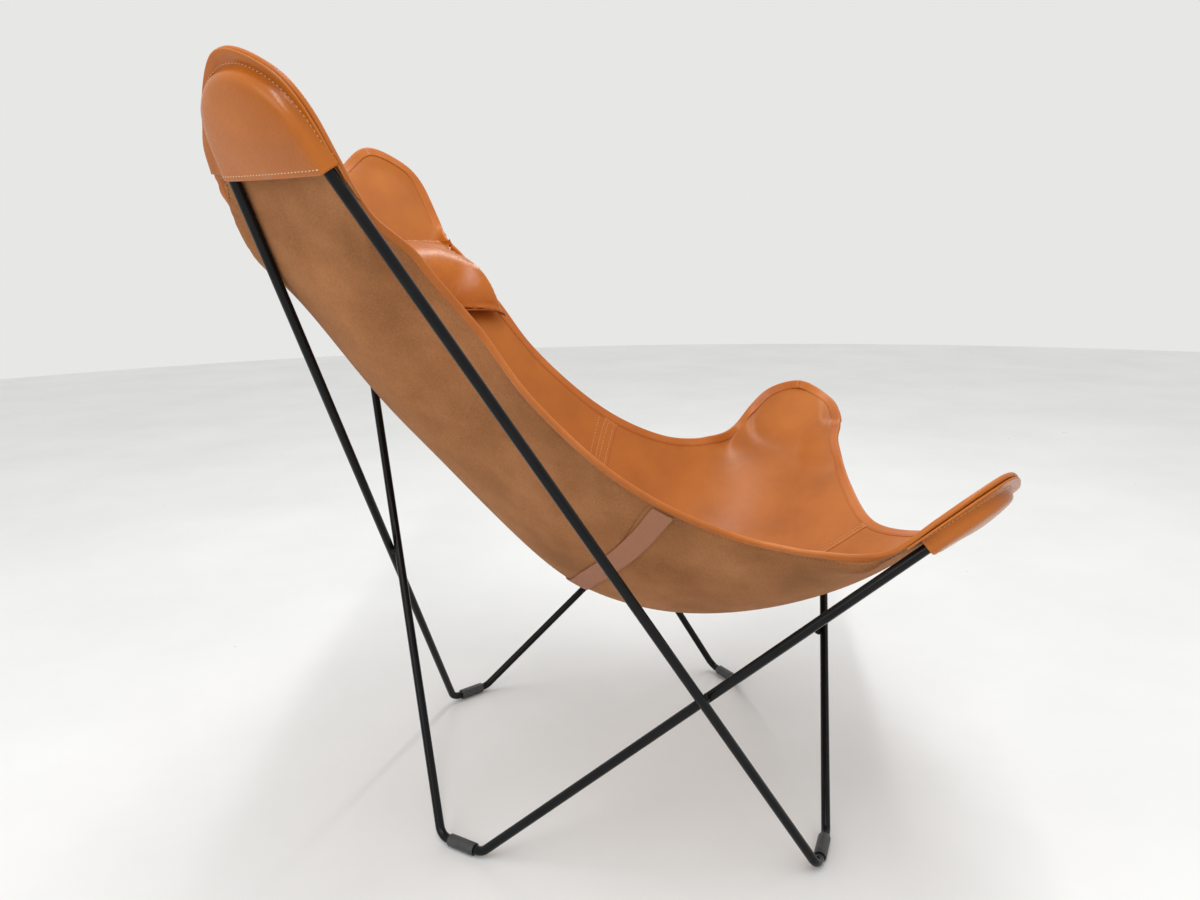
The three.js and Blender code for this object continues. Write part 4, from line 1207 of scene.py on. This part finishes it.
def add_strap():
    step = 0.03
    across = np.linspace(-STRAP_REACH, STRAP_REACH, 141)[None, :]
    turn = smooth((np.abs(across) - STRAP_TURN) / (STRAP_REACH - STRAP_TURN))
    middle_run = STRAP_RUN + STRAP_FORWARD * turn
    stretch = sling(across, middle_run + step) - sling(across, middle_run - step)
    length = np.linalg.norm(stretch, axis=-1) / (2 * step)
    run = middle_run + np.linspace(-0.5, 0.5, 13)[:, None] * STRAP_WIDTH / length
    normals = sling_normal(across, run)
    middle = sling(across, run) - normals * (LEATHER / 2 + STRAP_GAP + STRAP_THICKNESS / 2)
    obj = sheet_object("webbing_band", middle, normals, STRAP_THICKNESS, [WEBBING] * 3)
    layer = obj.data.uv_layers.new(name="weave")
    rows, columns = middle.shape[:2]
    for loop in obj.data.loops:
        row, column = divmod(loop.vertex_index % (rows * columns), columns)
        layer.data[loop.index].uv = (column / (columns - 1) * WEAVE_REPEATS, row / (rows - 1))
    piece(obj, "webbing", "webbing_strap")


def back_spot(across, z):
    """Run of the back at a share of its half width and a height."""
    upper = np.full(np.shape(z), 0.02)
    lower = np.ones(np.shape(z))
    for _ in range(36):
        run = (upper + lower) / 2
        above = sling(across, run)[..., 2] > z
        upper = np.where(above, run, upper)
        lower = np.where(above, lower, run)
    return upper


PILLOW_TOP, PILLOW_BOTTOM, PILLOW_RISE, PILLOW_TAPER = 742.0, 614.0, 48.0, 0.03
PILLOW_SHARE_LEFT, PILLOW_SHARE_RIGHT = 1.0, 0.945
PILLOW_FULL, PILLOW_EDGE, PILLOW_STAND = 50.0, 7.0, 22.0
PILLOW_SEAT = LEATHER / 2 + 2.2
PILLOW_FRONT = vec(0, -0.75, 0.66)
# Shape of the pillow: where its ends stop rising, how square they are, how low its fullest line lies
PILLOW_RISE_SHARE, PILLOW_SQUARENESS, PILLOW_SLUMP = 0.75, 16, 1.5
# Share of its height below which its back stands off the sling
PILLOW_LIFTS = 0.66
PIPING_RADIUS = 1.6
SWELL_LIMIT = 5.0
VOXEL = 4.0
CLOTH_FRAMES = 20


class Pillow:
    """A long neck pillow on the back: a flat sewn top edge, fullest low down, its lower seam standing off."""

    def __init__(self, stations=121):
        self.end = np.sin(np.linspace(-1, 1, stations) * math.pi / 2)
        share = np.broadcast_to(np.linspace(0, 1, 9), (stations, 9))
        normals = unit(self.spots(share)[1].mean(axis=1))
        for _ in range(10):
            inner = normals[:-2] + 2 * normals[1:-1] + normals[2:]
            normals = np.vstack([normals[:1], unit(inner), normals[-1:]])
        self.normals = unit(normals + PILLOW_FRONT)
        self.fullness = np.sqrt(np.clip(1 - np.abs(self.end) ** PILLOW_SQUARENESS, 0, 1))

    def spots(self, share):
        end = self.end[:, None]
        top = PILLOW_TOP + PILLOW_RISE * smooth(np.abs(end) / PILLOW_RISE_SHARE)
        across = end * (np.where(end > 0, PILLOW_SHARE_LEFT, PILLOW_SHARE_RIGHT) - PILLOW_TAPER * share)
        run = back_spot(across, top + (PILLOW_BOTTOM - PILLOW_TOP) * share)
        return sling(across, run), sling_normal(across, run)

    def back(self, share):
        return PILLOW_STAND * smooth((share - PILLOW_LIFTS) / (1 - PILLOW_LIFTS)) * self.fullness[:, None]

    def front(self, share):
        swell = np.sqrt(np.clip(np.sin(math.pi * share ** PILLOW_SLUMP), 0, 1))
        return np.maximum(PILLOW_FULL * swell * self.fullness[:, None], self.back(share)) + PILLOW_EDGE

    def surface(self, share, lift):
        spots, normals = self.spots(share)
        return spots + PILLOW_SEAT * normals + lift[..., None] * self.normals[:, None]

    def mesh(self, rows=80):
        turn = np.linspace(0, 1, rows, endpoint=False)
        share = np.broadcast_to(0.5 - 0.5 * np.cos(2 * math.pi * turn), (len(self.end), rows))
        lift = np.where(turn < 0.5, self.front(share), self.back(share))
        return self.surface(share, lift)

    def seam(self, share, forward):
        """A line along the pillow at the middle of its edge's thickness."""
        row = np.full((len(self.end), 1), share)
        return self.surface(row, (self.front(row) + self.back(row)) / 2 + forward)[:, 0]


def applied(obj):
    """The object's mesh with its modifiers applied, none of them left."""
    graph = bpy.context.evaluated_depsgraph_get()
    mesh = bpy.data.meshes.new_from_object(obj.evaluated_get(graph))
    obj.modifiers.clear()
    obj.data = mesh
    return mesh


def coordinates(mesh):
    flat = np.empty(3 * len(mesh.vertices))
    mesh.vertices.foreach_get("co", flat)
    return flat.reshape(-1, 3)


def inflate(obj, pillow):
    """Blows the pillow's cover up as cloth, keeps its back clear of the sling, and smooths it."""
    remesh = obj.modifiers.new("even", "REMESH")
    remesh.mode = "VOXEL"
    remesh.voxel_size = VOXEL * MM
    remesh.use_smooth_shade = True
    mesh = applied(obj)
    before = coordinates(mesh)
    cloth = obj.modifiers.new("cover", "CLOTH")
    cloth.settings.quality = 6
    cloth.settings.mass = 0.35
    cloth.settings.tension_stiffness = 18
    cloth.settings.compression_stiffness = 14
    cloth.settings.bending_stiffness = 0.6
    cloth.settings.use_pressure = True
    cloth.settings.uniform_pressure_force = 4.0
    cloth.settings.effector_weights.gravity = 0
    scene = bpy.context.scene
    for step in range(1, CLOTH_FRAMES + 1):
        scene.frame_set(step)
    graph = bpy.context.evaluated_depsgraph_get()
    after = coordinates(obj.evaluated_get(graph).to_mesh())
    obj.modifiers.clear()
    scene.frame_set(1)
    move = (after - before) / MM
    length = np.linalg.norm(move, axis=1, keepdims=True)
    move = move * np.minimum(1, SWELL_LIMIT / np.maximum(length, 1e-9))
    x = before[:, 0] / MM - SHIFT[0]
    middle = pillow.surface(np.full((len(pillow.end), 1), 0.5), np.zeros((len(pillow.end), 1)))[:, 0, 0]
    normal = np.column_stack([np.interp(x, middle, pillow.normals[:, k]) for k in range(3)])
    backward = np.minimum((move * normal).sum(axis=1), 0)
    move = move - backward[:, None] * normal
    mesh.vertices.foreach_set("co", (before + move * MM).ravel())
    obj.modifiers.new("fine", "SUBSURF").levels = 1
    applied(obj).polygons.foreach_set("use_smooth", np.ones(len(obj.data.polygons), bool))


def add_pillow():
    pillow = Pillow()
    rings = pillow.mesh()
    faces = grid_faces(*rings.shape[:2], wrap_columns=True) + end_caps(*rings.shape[:2])
    obj = make_object("neck_pillow_leather", rings, faces, [COGNAC_POCKET])
    inflate(obj, pillow)
    piece(obj, "pillow_leather", "neck_pillow")
    # The piping's dark colour is painted shade along the pillow's lower seam
    piping = tube_points(pillow.seam(1.0, 1.0)[4:-4], PIPING_RADIUS, 10, False)
    faces = grid_faces(*piping.shape[:2], wrap_columns=True) + end_caps(*piping.shape[:2])
    obj = make_object("pillow_piping", piping, faces, [PIPING_PAINTED_SHADE])
    piece(obj, "pillow_leather")
    add_top_seam(pillow)


def add_top_seam(pillow):
    """The flat sewn edge on top; its left end runs on past the sling's edge and curls up a little."""
    top = pillow.seam(0.0, 0.0)
    upward = unit(top - pillow.seam(0.06, 0.0))
    upward = unit(upward - (upward * pillow.normals).sum(axis=1, keepdims=True) * pillow.normals)
    onward = unit(top[-1] - top[-6])
    curl = [top[-1] + reach * onward + rise * upward[-1]
            for reach, rise in ((2.5, 0.6), (5.0, 2.0), (6.5, 4.0))]
    top = np.vstack([top, curl])
    upward = np.vstack([upward, [upward[-1]] * len(curl)])
    facing = np.vstack([pillow.normals, [pillow.normals[-1]] * len(curl)])
    middle = top[:, None] + np.linspace(-4, 6, 6)[None, :, None] * upward[:, None]
    normals = np.broadcast_to(facing[:, None], middle.shape)
    obj = sheet_object("pillow_top_seam", middle, normals, 3.0, [COGNAC_POCKET, COGNAC_POCKET, COGNAC_HEM])
    piece(obj, "pillow_leather")
    line = middle[:, 4] + normals[:, 4] * 1.5
    add_stitches("pillow_stitching", [(line, normals[:, 4])], TAN_THREAD, "pillow_leather")


add_camera()
add_stage()
add_frame()
add_panels()
OUTLINE = Outline()
add_hem(OUTLINE)
add_seams()
add_pockets(OUTLINE)
add_strap()
add_pillow()
